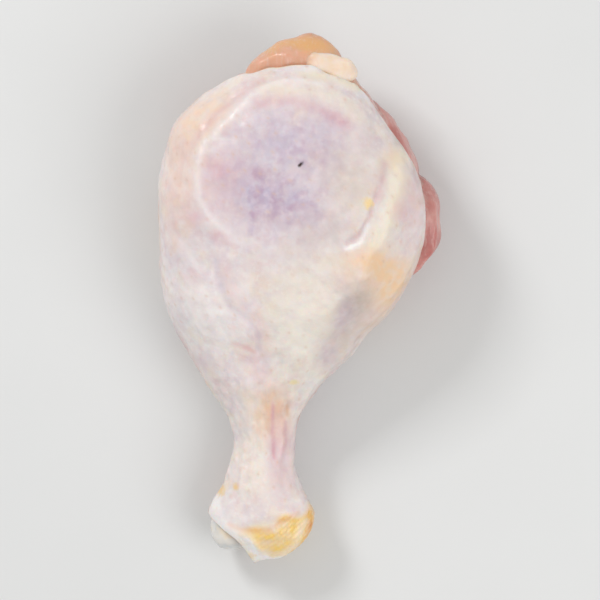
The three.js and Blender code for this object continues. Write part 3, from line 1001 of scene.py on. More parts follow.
@dataclass
class SkinSleeve:
    """The skin: an outer face with its fine relief, rolled edges and an inner face.

    Attributes:
        form: The leg's form.
        columns: Vertices round the leg.
        rows: Rows of the outer face.
        inner_rows: Rows of the inner face.
        lip_rows: Rows round each cut edge.
        lip_bulge: How far a cut edge is rounded outwards.
        thickness: Of the skin with the fat under it.
        closer: How much closer the rows lie at the hock and at the knee, and over what share of the skin.
        swells: The skin's broad unevenness.
        wrinkles: Fine wrinkles along the shank.
        pebbles: Fine unevenness everywhere but on the scales.
        shank: Where the shank's wrinkles start, are full, start to fade and end.
        hock: Where the hock's own skin starts and where it is all there is, going down.
        follicle_spacing: Distance between neighbouring feather follicles.
        follicle_seed: Picks their places.
        follicle_tries: Number of places tried for them.
        follicle_bump: Height and width of the bump round a follicle.
        follicle_pit: Depth and width of the pit in it.
        follicle_mark: Width of its tinted middle.
        follicle_patches: Where follicles show strongly.
        follicle_least: How strongly they show elsewhere.
        scale_spacing: Distance between the rows of scales at the hock.
        scale_length: Length of a scale, in spacings.
        scale_height: How far a scale stands out.
        scale_slant: Cosine and sine of the rows' slant.
        scale_line: Upper edge of the scales, as x and y.
        scale_edge: That edge's unevenness.
        scale_fade: How far under that edge the scales are in full.
        scale_left: Places across the leg where the scales start and where they are in full.
        scale_full: How strongly the scales' colour shows.
        scale_gaps: How that varies.
        scale_amber_and_shade: How amber they turn at the outer side, as painted shade where the skin curls
            under, and the places where that starts and is full.
        spread: How tones cover the sides that aren't turned up: how strongly, and the patches' size.
        spread_seed: Picks the first tone's patches there. Each further tone adds 1.
        tone_facing: How steeply a face has to look up for the tints to show in full.
        creases: The thin creases and ridges of the top side.
        tints: Where each tone shows on the top side.
    """

    form: LegForm
    columns: int = 320
    rows: int = 270
    inner_rows: int = 24
    lip_rows: int = 5
    lip_bulge: float = 0.45
    thickness: float = 1.5
    closer: tuple[Pair, Pair] = ((1.1, 0.16), (0.5, 0.12))
    swells: tuple[Ripple, ...] = (Ripple(0.3, 15, 1), Ripple(0.1, 5, 2))
    wrinkles: Ripple = Ripple(0.16, 2.6, 3, (1, 0.16, 1))
    pebbles: Ripple = Ripple(0.07, 2.4, 4)
    shank: tuple[float, float, float, float] = (14, 22, 44, 62)
    hock: Pair = (17, 12)
    follicle_spacing: float = 3.7
    follicle_seed: int = 7
    follicle_tries: int = 12000
    follicle_bump: Pair = (0.2, 0.75)
    follicle_pit: Pair = (0.12, 0.3)
    follicle_mark: float = 0.45
    follicle_patches: Ripple = Ripple(0.8, 22, 5)
    follicle_least: float = 0.45
    scale_spacing: float = 1.25
    scale_length: float = 2.2
    scale_height: float = 0.2
    scale_slant: Pair = (0.79, 0.61)
    scale_line: Line = ((-25, 8.5), (-5, 11.5), (7, 17.5))
    scale_edge: Ripple = Ripple(0.9, 6, 6)
    scale_fade: float = 3.5
    scale_left: Pair = (-17.5, -13.5)
    scale_full: float = 0.92
    scale_gaps: Ripple = Ripple(0.12, 2.6, 8, (0.5, 1, 1))
    scale_amber_and_shade: Triple = (0.42, 1.2, 4.4)
    spread: Pair = (0.3, 22)
    spread_seed: int = 40
    tone_facing: float = 0.35
    creases: tuple[Fold, ...] = (
        Fold(-0.35, 0.5, ((20.9, 94.2), (18.7, 87.6), (16.4, 83.6), (13.1, 81.4))),
        Fold(-0.26, 1.1, ((23.6, 102), (22.9, 99), (21.7, 96))),
        Fold(0.2, 1, ((26.8, 104), (26.6, 98), (24.4, 92), (21, 86), (19.2, 81.5))),
        Fold(0.4, 0.7, ((12.8, 80.2), (15, 80.7), (17, 82.2))),
        Fold(0.2, 0.6, ((-15.8, 119), (-13, 120.6), (-11.3, 121.8), (-6.3, 124.2))),
        Fold(-0.2, 0.8, ((-22.4, 112.2), (-14.7, 117.8), (-11.3, 120.2), (-5, 122.9))),
        Fold(0.2, 0.9, RING),
        Fold(-0.12, 1.4, ((-18, 88), (-21.4, 95), (-21.6, 102), (-18, 108), (-11, 114.4), (-3, 117.5),
            (4, 117), (11.5, 113.2))),
        Fold(-0.22, 1, ((-20.4, 76.5), (-17.7, 67.7), (-15, 64.3), (-11.6, 62), (-9.3, 58.2),
            (-9.2, 54), (-7, 48))),
        Fold(0.35, 1.3, ((-12, 47), (-11.4, 36), (-12, 27))),
        Fold(-0.25, 0.8, ((-2, 44), (-2.2, 34), (-2.6, 24))),
        Fold(-0.2, 0.9, ((-8, 46), (-7.6, 34), (-8.4, 22))),
        Fold(0.4, 1, ((-17.6, 9.6), (-13, 7), (-9.8, 4.6), (-8, 2.6))),
        Fold(0.35, 0.9, ((-5.4, 0.8), (-1.6, 3.6), (0.6, 6.6), (2.2, 10.6))),
        Fold(0.3, 1.5, ((-13, 10.6), (-8, 11.8), (-2, 13), (3, 14.5))),
    )
    tints: tuple[Tint, ...] = (
        Tint(Tone.LEAN, (
            Patch((-3.5, 97), (17, 17), 0, 0.54), Patch((-4.6, 93), (11, 6.6), -22, 0.42),
            Patch((1, 109), (15, 7), 0, 0.3), Patch((-3.6, 27), (3, 10), 0, 0.14),
            Patch((-27, 79), (6, 10), 0, 0.12), Streak(((-11, 84), (-10.8, 89), (-11, 95)), 0.8, 0.5),
            Streak(((-8.8, 91.6), (-7.4, 94.2), (-5.8, 96.6)), 0.8, 0.5),
            Streak(((-9, 89.6), (-6.4, 90.8), (-3.4, 93.2)), 0.5, 0.4),
            Streak(((-20.4, 76.5), (-17.7, 67.7), (-15, 64.3), (-11.6, 62), (-9.3, 58.2),
                (-9.2, 55)), 0.9, 0.26),
            Patch((-29, 62.5), (2, 3), 0, 0.22), Patch((-23, 52), (3, 2.4), 0, 0.22),
            Patch((12.6, 63), (2.6, 5), -20, 0.42), Patch((8.4, 53.4), (2.6, 3.6), -20, 0.4),
        )),
        Tint(Tone.FILM, (
            Streak(((-6, 102), (-0.5, 98), (5, 94.5), (10, 90.5)), 2.5, 0.22),
            Streak(((-22.5, 107.2), (-18.6, 107.8), (-15, 107.5)), 0.5, 0.35),
            # Painted light: the patches at (-22, 63) and (-9.5, 49) lighten the calf's left side and the
            # shank. The streak along the ring is its ridge's pale crest with a painted highlight, and the
            # streak by (15, 81) a painted highlight at the crease's hook.
            Patch((-22, 63), (7.5, 11), 30, 0.6), Patch((1, 60), (8, 12), 0, 0.3),
            Patch((-9.5, 49), (5, 5.5), 0, 0.22), Streak(RING, 0.9, 0.4),
            Streak(((12.8, 80.2), (15, 80.6), (17, 82.4), (18.6, 86)), 0.6, 0.9),
            Streak(((-20.6, 16), (-20.4, 11), (-17.6, 7.8), (-13, 5.2)), 2.2, 1),
            Streak(((-13, 5.2), (-10.6, 3.4), (-8.4, 2)), 1.5, 1),
            Streak(((-10.4, 0.4), (-8, 0.6), (-5.4, 0.7), (-3.4, 0.8)), 1.2, 1),
            # Painted highlight along the ridge of the hock's fold.
            Streak(((-4.6, 1.4), (-1.6, 3.6), (0.6, 6.6), (2.2, 10.6)), 0.9, 0.4),
        )),
        Tint(Tone.DUSK, (
            # Grey tone: the skin's own grey on the disc's right part, and painted shade along the calf's
            # right side and in the groove under the disc.
            Patch((13, 97), (9, 12), 0, 0.42), Patch((6, 84.5), (8, 5), 0, 0.35),
            Patch((13.5, 61), (5, 12), -24, 0.7), Patch((2, 72), (12, 9), 0, 0.15),
            Patch((15.8, 66.6), (5, 4.4), 40, 0.36),
        )),
        Tint(Tone.CREAM, (
            Patch((13.5, 95), (7, 9), 0, 0.55), Patch((2, 62), (9.5, 18), 0, 0.6),
            Patch((-11.5, 29), (4, 13), 0, 0.25), Patch((-7, 21), (8, 6), 0, 0.15),
            Streak(((26.3, 103), (25.8, 96), (23.5, 88), (20, 81)), 2.7, 0.8),
            Streak(((-9, 121), (0, 119.8), (8, 119), (16, 114)), 2, 0.5),
            Streak(((2, 124.4), (9, 123.4), (16, 121)), 1.3, 0.8),
        )),
        Tint(Tone.BLUSH, (
            Streak(((-12.4, 95.2), (-10.8, 97.6), (-9.8, 99.6)), 1.2, 0.75),
            Streak(((-8.8, 92.4), (-7.4, 94.6), (-6.2, 96.6)), 0.9, 0.8),
            Streak(((-22, 101.6), (-18.4, 100), (-15, 98)), 1.5, 0.3),
            Patch((-18.4, 97.5), (6.5, 9), 0, 0.45), Patch((-19, 83), (2.6, 2.2), 0, 0.55),
            Patch((-25, 87.7), (2.5, 2.8), 0, 0.4), Patch((10.5, 112.2), (4, 2.2), -20, 0.45),
            Patch((30, 92), (3.5, 10), 0, 0.4), Patch((-30, 97), (4, 18), 0, 0.2),
            Patch((26, 89.8), (2, 2.8), 0, 0.4),
            # The two streaks below are pink painted shade in the crease.
            Streak(((20.4, 93), (18.7, 87.6), (16.4, 83.6), (13.1, 81.4)), 0.6, 0.5),
            Streak(((23.2, 101.4), (22.2, 98), (20.8, 93.8)), 1.3, 0.5),
            Streak(((-5.6, 41), (-5.5, 35), (-5.2, 27)), 0.5, 0.6),
            Streak(((-2.2, 36), (-2.4, 31), (-3.4, 28)), 0.5, 0.45),
            Patch((-3.8, 29), (3.2, 12), 0, 0.45),
            Streak(((-9, 116.4), (-3, 117.3), (4, 116), (12.6, 112.2)), 1.5, 0.48),
            Streak(((-19, 78), (-16, 69), (-13, 66), (-8.6, 61), (-7.6, 55), (-8, 48)), 2.2, 0.28),
            Patch((-25, 73), (2.6, 2), 0, 0.35), Patch((-8.6, 47.5), (3, 4.6), 0, 0.2),
            Patch((-11.6, 51.5), (3.6, 3.6), 0, 0.25),
            Streak(((-25.5, 107), (-20.5, 113.6), (-14.7, 118), (-8, 122.4)), 1.1, 0.45),
            Streak(((-15.6, 56.2), (-13.4, 55.7), (-12, 55.4)), 0.5, 0.6),
            Streak(((-13, 55), (-11.6, 54.6), (-10.4, 54)), 0.5, 0.65),
            Streak(((-14.6, 53.6), (-12, 52.6), (-9.4, 52.2)), 0.4, 0.35),
            Streak(((-14, 52), (-11.4, 51.4), (-9.4, 51.4)), 0.4, 0.3),
            Patch((-5.6, 36), (2.4, 5), 0, 0.2), Patch((-1, 122.6), (11, 2.6), 0, 0.14),
        )),
        Tint(Tone.PEACH, (
            Patch((-29.5, 101), (4.5, 15.5), 0, 0.4), Patch((-22, 114), (8, 4.5), 40, 0.6),
            Patch((24, 71.5), (7.5, 8), 30, 1), Patch((17.5, 77.4), (5.4, 3.4), -10, 0.6),
            Patch((24.7, 103), (2.6, 3.2), 0, 0.35), Patch((-5.7, 38.4), (5, 7.2), 0, 0.8),
            Patch((12, 72.6), (3.4, 2.8), 0, 0.25),
        )),
        Tint(Tone.AMBER, (
            # The patch at (19.5, 60.5) and the streaks at the hock are painted shade: by the calf's right
            # edge, where the hock's skin curls under and under the fold along the scales' upper edge. The
            # others are the skin's own orange.
            Patch((19.5, 60.5), (3, 6.5), -25, 0.16),
            Streak(((-15.6, 56.2), (-13.4, 55.4), (-10.6, 54.2)), 0.7, 0.16),
            Patch((-6.4, 38), (3.6, 5.6), 0, 0.09), Streak(((-1.6, 40), (-1.8, 38)), 0.5, 0.3),
            Streak(((-0.8, 1.5), (1, 2.8), (3.2, 5.2), (4.2, 9)), 1.4, 0.75),
            Streak(((4.3, 9.6), (4.6, 12.6)), 1.3, 0.45),
            Streak(((-16.9, 9.9), (-13, 8.4), (-7, 8.6), (-3.6, 10.6), (0.5, 12.8)), 0.7, 0.4),
        )),
    )

    def build(self) -> bpy.types.Object:
        """Makes the skin and dresses it.

        Returns:
            The skin.
        """
        angle = self.form.around(self.columns)
        hock, knee = self.form.edges(angle)
        y = hock + (knee - hock) * self.row_shares()[:, None]
        angles = np.broadcast_to(angle, y.shape)
        smooth, normal = self.form.point(y, angles), self.form.normal(y, angles)
        relief, follicle = self.relief(smooth, normal)
        face = self.form.face(y, angles, np.zeros(y.shape), relief)
        lips = [self.lip(angle, knee, 1), self.inner_face(angle, hock, knee), self.lip(angle, hock, -1)]
        points = np.concatenate([face, *lips])
        marks = {**self.tone_marks(smooth, normal), "follicle": follicle, "inner": np.zeros(y.shape)}
        for mark, values in marks.items():
            fill = np.ones if mark == "inner" else np.zeros
            marks[mark] = np.concatenate([values, fill((len(points) - len(face), self.columns))])
        faces = rows_to_faces(len(points), self.columns, True)
        sleeve = make_object("skin_sleeve", self.form.to_frame(points), faces, marks)
        dress(sleeve, PoultrySkin().material())
        return sleeve

    def row_shares(self) -> np.ndarray:
        """How far up the skin each row lies: closest at the hock, where the scales are finest.

        Returns:
            Shares from 0 to 1.
        """
        t = np.linspace(0, 1, 2000)
        (at_hock, hock_share), (at_knee, knee_share) = self.closer
        density = 1 + at_hock * bell(t, hock_share) + at_knee * bell(t - 1, knee_share)
        total = np.concatenate([[0], np.cumsum((density[1:] + density[:-1]) / 2)])
        return np.interp(np.linspace(0, total[-1], self.rows), total, t)

    def lip(self, angle: np.ndarray, edge: np.ndarray, side: int) -> np.ndarray:
        """Rows round the skin's cut edge.

        Args:
            angle: Angles round the leg, in radians.
            edge: How far up the leg the edge lies.
            side: 1 at the knee, from the outer face in, or -1 at the hock, back out.

        Returns:
            The rows' places.
        """
        roll = np.linspace(0, np.pi, self.lip_rows + 2)[1:-1][::side]
        y = edge + side * self.lip_bulge * np.sin(roll)[:, None]
        offset = np.broadcast_to(-self.thickness / 2 * (1 - np.cos(roll))[:, None], y.shape)
        return self.form.face(y, np.broadcast_to(angle, y.shape), offset)

    def inner_face(self, angle: np.ndarray, hock: np.ndarray, knee: np.ndarray) -> np.ndarray:
        """Rows of the inner face, from the knee back to the hock.

        Args:
            angle: Angles round the leg, in radians.
            hock: How far up the leg the edge at the hock lies.
            knee: The same of the edge at the knee.

        Returns:
            The rows' places.
        """
        share = (1 - np.cos(np.linspace(0, np.pi, self.inner_rows))) / 2
        y = knee + (hock - knee) * share[:, None]
        return self.form.face(y, np.broadcast_to(angle, y.shape), np.full(y.shape, -self.thickness))

    def relief(self, points: np.ndarray, normal: np.ndarray) -> tuple[np.ndarray, np.ndarray]:
        """Fine relief of the outer face.

        Args:
            points: Places on the smooth leg.
            normal: Its normals there.

        Returns:
            Heights, and how strongly each place belongs to a feather follicle.
        """
        x, y, z = np.moveaxis(points, -1, 0)
        low, full, fading, high = self.shank
        shank = ease(y, low, full) * ease(y, high, fading)
        hock = ease(y, *self.hock)
        height = sum(swell.at(points) for swell in self.swells)
        height += shank * self.wrinkles.at(points) + (1 - hock) * self.pebbles.at(points)
        height += sum(fold.relief(points) for fold in self.creases) * self.form.facing_up(normal)
        away = self.to_follicles(points)
        patchy = ease(self.follicle_patches.at(points), -0.5, 0.5)
        strength = (1 - hock) * (self.follicle_least + (1 - self.follicle_least) * patchy)
        (bump, bump_width), (pit, pit_width) = self.follicle_bump, self.follicle_pit
        height += strength * (bump * bell(away, bump_width) - pit * bell(away, pit_width))
        # Scales lie in slanting rows, each row half a scale further along than the last.
        c, s = self.scale_slant
        along, across = c * x + s * y, c * y - s * x + 0.5 * z
        row = np.floor(across / self.scale_spacing)
        across = 2 * np.mod(across / self.scale_spacing, 1) - 1
        along = 2 * np.mod(along / (self.scale_length * self.scale_spacing) + 0.5 * np.mod(row, 2), 1) - 1
        height += self.scaly(points) * self.scale_height * (1 - across**4) * (1 - along**8)
        return height, strength * bell(away, self.follicle_mark)

    def to_follicles(self, points: np.ndarray) -> np.ndarray:
        """Distance to the nearest feather follicle. They are spread evenly, but not in rows.

        Args:
            points: Places on the smooth leg.

        Returns:
            Each place's distance.
        """
        flat = points.reshape(-1, 3)
        rng = np.random.default_rng(self.follicle_seed)
        gap, cell = self.follicle_spacing, self.follicle_spacing / math.sqrt(3)
        reach = range(-2, 3)
        near = [(i, j, k) for i in reach for j in reach for k in reach]
        taken: dict[tuple[int, int, int], np.ndarray] = {}
        for p in flat[rng.permutation(len(flat))[:self.follicle_tries]]:
            key = tuple(int(c) for c in np.floor(p / cell))
            if key in taken:
                continue
            cells = ((key[0] + a, key[1] + b, key[2] + c) for a, b, c in near)
            if all(((p - taken[c]) ** 2).sum() > gap * gap for c in cells if c in taken):
                taken[key] = p
        tree = KDTree(len(taken))
        for i, p in enumerate(taken.values()):
            tree.insert(p, i)
        tree.balance()
        return np.array([tree.find(p)[2] for p in flat]).reshape(points.shape[:-1])

    def scaly(self, points: np.ndarray) -> np.ndarray:
        """How scaly the skin is: all round the hock, up to a slanting and uneven line.

        Args:
            points: Places on the smooth leg.

        Returns:
            0 to about 1 at each place.
        """
        x, y = points[..., 0], points[..., 1]
        upper = np.interp(x, *np.array(self.scale_line).T) + self.scale_edge.at(points)
        solid = self.scale_full + self.scale_gaps.at(points)
        return solid * ease(upper - y, 0, self.scale_fade) * ease(x, *self.scale_left)

    def tone_marks(self, points: np.ndarray, normal: np.ndarray) -> dict[str, np.ndarray]:
        """How strongly each tone shows.

        Args:
            points: Places on the smooth leg.
            normal: Its normals there.

        Returns:
            0 to 1 at each place, by the tone's name.
        """
        facing_up = ease(normal[..., 2], 0, self.tone_facing)
        most, size = self.spread
        marks = {}
        for number, tone in enumerate(Tone):
            places = [place for tint in self.tints if tint.tone is tone for place in tint.places]
            shown = sum(place.amount(points) for place in places)
            patches = Ripple(1, size, self.spread_seed + number).at(points)
            hidden = most * ease(patches, -0.3, 0.7)
            marks[tone.value] = np.clip(facing_up * shown + (1 - facing_up) * hidden, 0, 1)
        scaly = self.scaly(points)
        # Painted shade: the scales turn amber towards the hock's outer side, where the skin curls under.
        amber, start, end = self.scale_amber_and_shade
        shaded_outer_side = amber * scaly * ease(points[..., 0], start, end)
        marks[Tone.SCALE.value] = scaly
        marks[Tone.AMBER.value] = np.maximum(marks[Tone.AMBER.value], shaded_outer_side)
        return marks


@dataclass
class Flesh:
    """The meat: smooth under the skin, and swollen into muscle ends past the skin's edge at the knee.

    Attributes:
        form: The leg's form.
        columns: Vertices round the leg.
        hidden_rows: Rows under the skin.
        cut_rows: Rows past the skin's edge at the knee.
        end_rows: Rows of the dome that closes the flesh at the hock.
        end_bulge: That dome's height.
        starts_at: How far up the skin the flesh starts, as a share of the skin's length.
        under: Offset from the leg's outer face where the skin covers the flesh.
        base: Offset of the bare flesh between the muscles.
        bare: Distances past the skin's edge where the flesh starts to stand out, and does in full.
        fullness: Power of the muscles' domes. A low one is full, with a steep rim.
        seam: Depth and width of the groove where two muscles meet.
        bundles: Relief of the fibres' bundles.
        films: Where pale films cover the flesh.
        film_shares: How strongly the films show along the seams and elsewhere.
        film_hock: Distances up the leg where they start to cover all of the flesh, and where they do.
        flap_from: Heights, and distances up the leg, where the tan flap starts and where it is in full.
        flap_calm: Share of the fine relief that the smooth flap lacks.
        flap_rosy: Distances up the leg where the flap starts to turn rosy, where it is, and how far.
        flap_edge: Unevenness of that line.
        muscles: The muscle ends.
        dish: The hollow between them that holds the joint.
    """

    form: LegForm
    columns: int = 320
    hidden_rows: int = 34
    cut_rows: int = 130
    end_rows: int = 10
    end_bulge: float = 4
    starts_at: float = 0.018
    under: float = -1.62
    base: float = -1
    bare: Pair = (0.1, 2.7)
    fullness: float = 0.7
    seam: Pair = (0.45, 0.5)
    bundles: tuple[Ripple, ...] = (
        Ripple(0.28, 5, 11, (1, 0.3, 1)), Ripple(0.12, 2.2, 12, (1, 0.2, 1)), Ripple(0.25, 8, 13))
    films: Ripple = Ripple(1, 9, 21)
    film_shares: Pair = (0.8, 0.4)
    film_hock: Pair = (20, 16)
    flap_from: tuple[Pair, Pair] = ((21, 26), (118, 124))
    flap_calm: float = 0.75
    flap_rosy: Triple = (131.5, 127.5, 0.7)
    flap_edge: Ripple = Ripple(0.8, 7, 22)
    muscles: tuple[Muscle, ...] = (
        Muscle((35, 86, 13), (9, 15.5, 9), 3.7),
        Muscle((26, 109, 13.5), (10.5, 15, 9), 1.5),
        Muscle((23, 103, 4), (10, 13, 10), 2.6),
        Muscle((0, 103, 2), (15, 14, 9), 3),
        Muscle((-20, 109, 5), (9, 11, 8), 2.5),
        Muscle((-26, 116, 15), (7, 9, 8), 0.6),
        Muscle((1, 131.5, 28), (20, 9, 8), 1.8),
    )
    dish: Muscle = Muscle((-1, 131, 14.5), (15, 9, 7.5), -3.2)

    def build(self) -> bpy.types.Object:
        """Makes the flesh and dresses it.

        Returns:
            The flesh.
        """
        angle = self.form.around(self.columns)
        hock, knee = self.form.edges(angle)
        hidden = np.linspace(self.starts_at, 1, self.hidden_rows)[:, None]
        cut = np.sin(np.linspace(0, np.pi / 2, self.cut_rows + 2)[1:-1])[:, None]
        y = np.concatenate([hock + (knee - hock) * hidden, knee + (self.form.length - knee) * cut])
        angles = np.broadcast_to(angle, y.shape)
        smooth = self.form.point(y, angles)
        height, seam = self.heights(smooth)
        bare = ease(self.past_edge(y, angle, knee), *self.bare)
        offset = self.under + (height - self.under) * bare
        points = self.form.face(y, angles, offset, bare * self.relief(smooth, seam))
        end = self.hock_end(points[0])
        points, smooth = np.concatenate([end, points]), np.concatenate([end, smooth])
        seam = np.concatenate([np.zeros(end.shape[:2]), seam])
        hubs = points[[0, -1]].mean(axis=1)
        vertices = np.concatenate([points.reshape(-1, 3), hubs])
        tones = self.tone_marks(smooth, seam)
        marks = {name: np.append(np.ravel(values), [0, 0]) for name, values in tones.items()}
        faces = rows_to_faces(len(points), self.columns, False)
        flesh = make_object("flesh", self.form.to_frame(vertices), faces, marks)
        dress(flesh, RawFlesh().material())
        return flesh

    def tone_marks(self, points: np.ndarray, seam: np.ndarray) -> dict[str, np.ndarray]:
        """How strongly the pale films and the flap's two tones show.

        Args:
            points: Places on the smooth leg.
            seam: How close each place lies to a seam.

        Returns:
            0 to 1 at each place, by the tone's name.
        """
        y = points[..., 1]
        at_seams, elsewhere = self.film_shares
        film = at_seams * seam + elsewhere * ease(self.films.at(points), 0, 1) + ease(y, *self.film_hock)
        flap = self.flap(points)
        start, end, most = self.flap_rosy
        rosy = most * flap * ease(y - self.flap_edge.at(points), start, end)
        return {"film": np.clip(film, 0, 1), "tan": flap, "rosy": rosy}

    def hock_end(self, ring: np.ndarray) -> np.ndarray:
        """Rows of the low dome that closes the flesh at the hock, inside the skin's mouth.

        Args:
            ring: The flesh's first row, round the mouth.

        Returns:
            The dome's rows, from its top out to the ring.
        """
        middle = ring.mean(axis=0)
        tilt = np.linspace(0, np.pi / 2, self.end_rows + 2)[1:-1][:, None, None]
        return middle + (ring - middle) * np.sin(tilt) - np.array([0, self.end_bulge, 0]) * np.cos(tilt)

    def heights(self, points: np.ndarray) -> tuple[np.ndarray, np.ndarray]:
        """How far the muscles stand out.

        Args:
            points: Places on the smooth leg.

        Returns:
            Height at each place, and how close it lies to a seam between two muscles, from 0 to 1.
        """
        domes = []
        for muscle in self.muscles:
            dome = np.maximum(0, 1 - muscle.away(points) ** 2) ** self.fullness
            domes.append(self.base + (muscle.height - self.base) * dome)
        ordered = np.sort(np.stack([*domes, np.full(points.shape[:-1], self.base)]), axis=0)
        hollow = self.dish.height * np.maximum(0, 1 - self.dish.away(points) ** 2)
        return ordered[-1] + hollow, bell(ordered[-1] - ordered[-2], self.seam[1])

    def past_edge(self, y: np.ndarray, angle: np.ndarray, knee: np.ndarray) -> np.ndarray:
        """How far each place is past the skin's edge, square to that edge.

        Args:
            y: Distances up the leg.
            angle: Angles round it, in radians.
            knee: How far up the leg the skin's edge lies at each angle.

        Returns:
            The distances, negative under the skin.
        """
        step, narrowest = 0.02, 4
        smooth = self.form.point(y, np.broadcast_to(angle, y.shape))
        beside = self.form.point(y, np.broadcast_to(angle + step, y.shape))
        radius = np.maximum(narrowest, np.linalg.norm(beside - smooth, axis=-1) / step)
        degrees = np.degrees(angle), np.degrees(step)
        rise = self.form.knee_edge(degrees[0] + degrees[1]) - self.form.knee_edge(degrees[0] - degrees[1])
        return (y - knee) / np.hypot(1, rise / (2 * step * radius))

    def relief(self, points: np.ndarray, seam: np.ndarray) -> np.ndarray:
        """Fine relief of the bare flesh: bundles of fibres, and grooves along the seams."""
        calm = 1 - self.flap_calm * self.flap(points)
        return calm * (sum(bundle.at(points) for bundle in self.bundles) - self.seam[0] * seam)

    def flap(self, points: np.ndarray) -> np.ndarray:
        """Where the flesh is the smooth tan flap past the skin's top edge."""
        return ease(points[..., 2], *self.flap_from[0]) * ease(points[..., 1], *self.flap_from[1])


@dataclass(frozen=True)
class Lump:
    """A rounded lump, which a valley across its middle may part into two lobes.

    Attributes:
        at: The lump's middle.
        radii: Half its width, length and height.
        turn: How far it is turned, in degrees.
        valley: The valley's width as a share of the lump's, and its depth in length and in height.
        fullness: Power of its roundness. 1 is an ellipsoid, and less is fuller.
    """

    at: Triple
    radii: Triple
    turn: float = 0
    valley: Triple = (1, 0, 0)
    fullness: float = 1

    def build(self, form: LegForm, across: int = 64, rings: int = 40) -> bpy.types.Object:
        """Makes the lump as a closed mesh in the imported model's frame.

        Args:
            form: The leg's form.
            across: Vertices round the lump.
            rings: Rings from its top to its bottom.

        Returns:
            The lump.
        """
        turns, tilts = 2 * np.pi * np.arange(across) / across, np.pi * (np.arange(rings) + 0.5) / rings
        around, down = np.meshgrid(turns, tilts, indexing="xy")
        out = np.sin(down)
        ball = np.stack([np.cos(around) * out, np.sin(around) * out, np.cos(down)], axis=-1)
        ball = np.concatenate([ball.reshape(-1, 3), [[0, 0, 1], [0, 0, -1]]])
        ball = np.sign(ball) * np.abs(ball) ** self.fullness
        width, shorter, lower = self.valley
        share = bell(ball[:, 0], width)
        ball[:, 1] *= 1 - shorter * share
        ball[:, 2] *= 1 - lower * share
        ball *= np.array(self.radii)
        c, s = math.cos(math.radians(self.turn)), math.sin(math.radians(self.turn))
        turned = ball @ np.array([[c, s, 0], [-s, c, 0], [0, 0, 1]])
        faces = rows_to_faces(rings, across, False)
        return make_object("lump", form.to_frame(turned + np.array(self.at)), faces, {})


@dataclass
class Tibia:
    """The bone: a shaft between two gristle-capped heads.

    Attributes:
        form: The leg's form.
        lumps: The heads and the swellings next to them.
        shaft: Places along the middle of the shaft.
        shaft_radius: The shaft's radius.
        shaft_mesh: Rows along the shaft, and vertices in each.
        face: Size of the fused bone's faces.
        softness: Rounds of smoothing where shaft and lumps join.
        ripples: The bone's fine unevenness.
        pink: Distances up the leg between which flesh clings to the bone and tints it.
    """

    form: LegForm
    lumps: tuple[Lump, ...] = (
        Lump((-1, 119.9, 15.4), (14, 10.9, 8.7), 2, (0.3, 0.17, 0.18)),
        Lump((-2, 107, 16.6), (9.4, 15, 7.4)),
        Lump((-13.2, 9.2, 8.9), (8.6, 6.7, 6.2), 10, (0.35, 0.2, 0.2)),
        Lump((-10.8, 15, 10), (5.6, 8, 5.4)),
    )
    shaft: tuple[Triple, ...] = ((-10.4, 14, 10.4), (-8, 30, 11.4), (-5.4, 70, 14.5), (-2, 112, 17))
    shaft_radius: float = 4.3
    shaft_mesh: tuple[int, int] = (80, 24)
    face: float = 0.5
    softness: int = 6
    ripples: tuple[Ripple, ...] = (Ripple(0.22, 5, 31), Ripple(0.08, 2, 32))
    pink: tuple[Pair, Pair, Pair] = ((9, 13), (60, 70), (124, 118))

    def build(self) -> bpy.types.Object:
        """Makes the bone and dresses it.

        Returns:
            The bone.
        """
        parts = [self.shaft_tube(), *(lump.build(self.form) for lump in self.lumps)]
        bone = fused(parts, "tibia", self.face, self.softness)
        y = roughen(bone, self.ripples)[:, 1] + self.form.middle[1]
        at_hock, from_shaft, to_knee = self.pink
        hold_mark(bone, "root", np.maximum(ease(y, *to_knee) * ease(y, *from_shaft), ease(y, *at_hock)))
        dress(bone, Gristle().material())
        return bone

    def shaft_tube(self) -> bpy.types.Object:
        """Makes the shaft as a closed tube.

        Returns:
            The tube.
        """
        rows, sides = self.shaft_mesh
        knots = np.array(self.shaft)
        y = np.linspace(knots[0, 1], knots[-1, 1], rows)
        x = SmoothCurve(tuple(zip(knots[:, 1], knots[:, 0])))(y)
        z = SmoothCurve(tuple(zip(knots[:, 1], knots[:, 2])))(y)
        turn = 2 * np.pi * np.arange(sides) / sides
        ring = self.shaft_radius * np.stack([np.cos(turn), np.zeros(sides), np.sin(turn)], axis=-1)
        points = np.stack([x, y, z], axis=-1)[:, None] + ring
        vertices = np.concatenate([points.reshape(-1, 3), points[[0, -1]].mean(axis=1)])
        return make_object("shaft", self.form.to_frame(vertices), rows_to_faces(rows, sides, False), {})


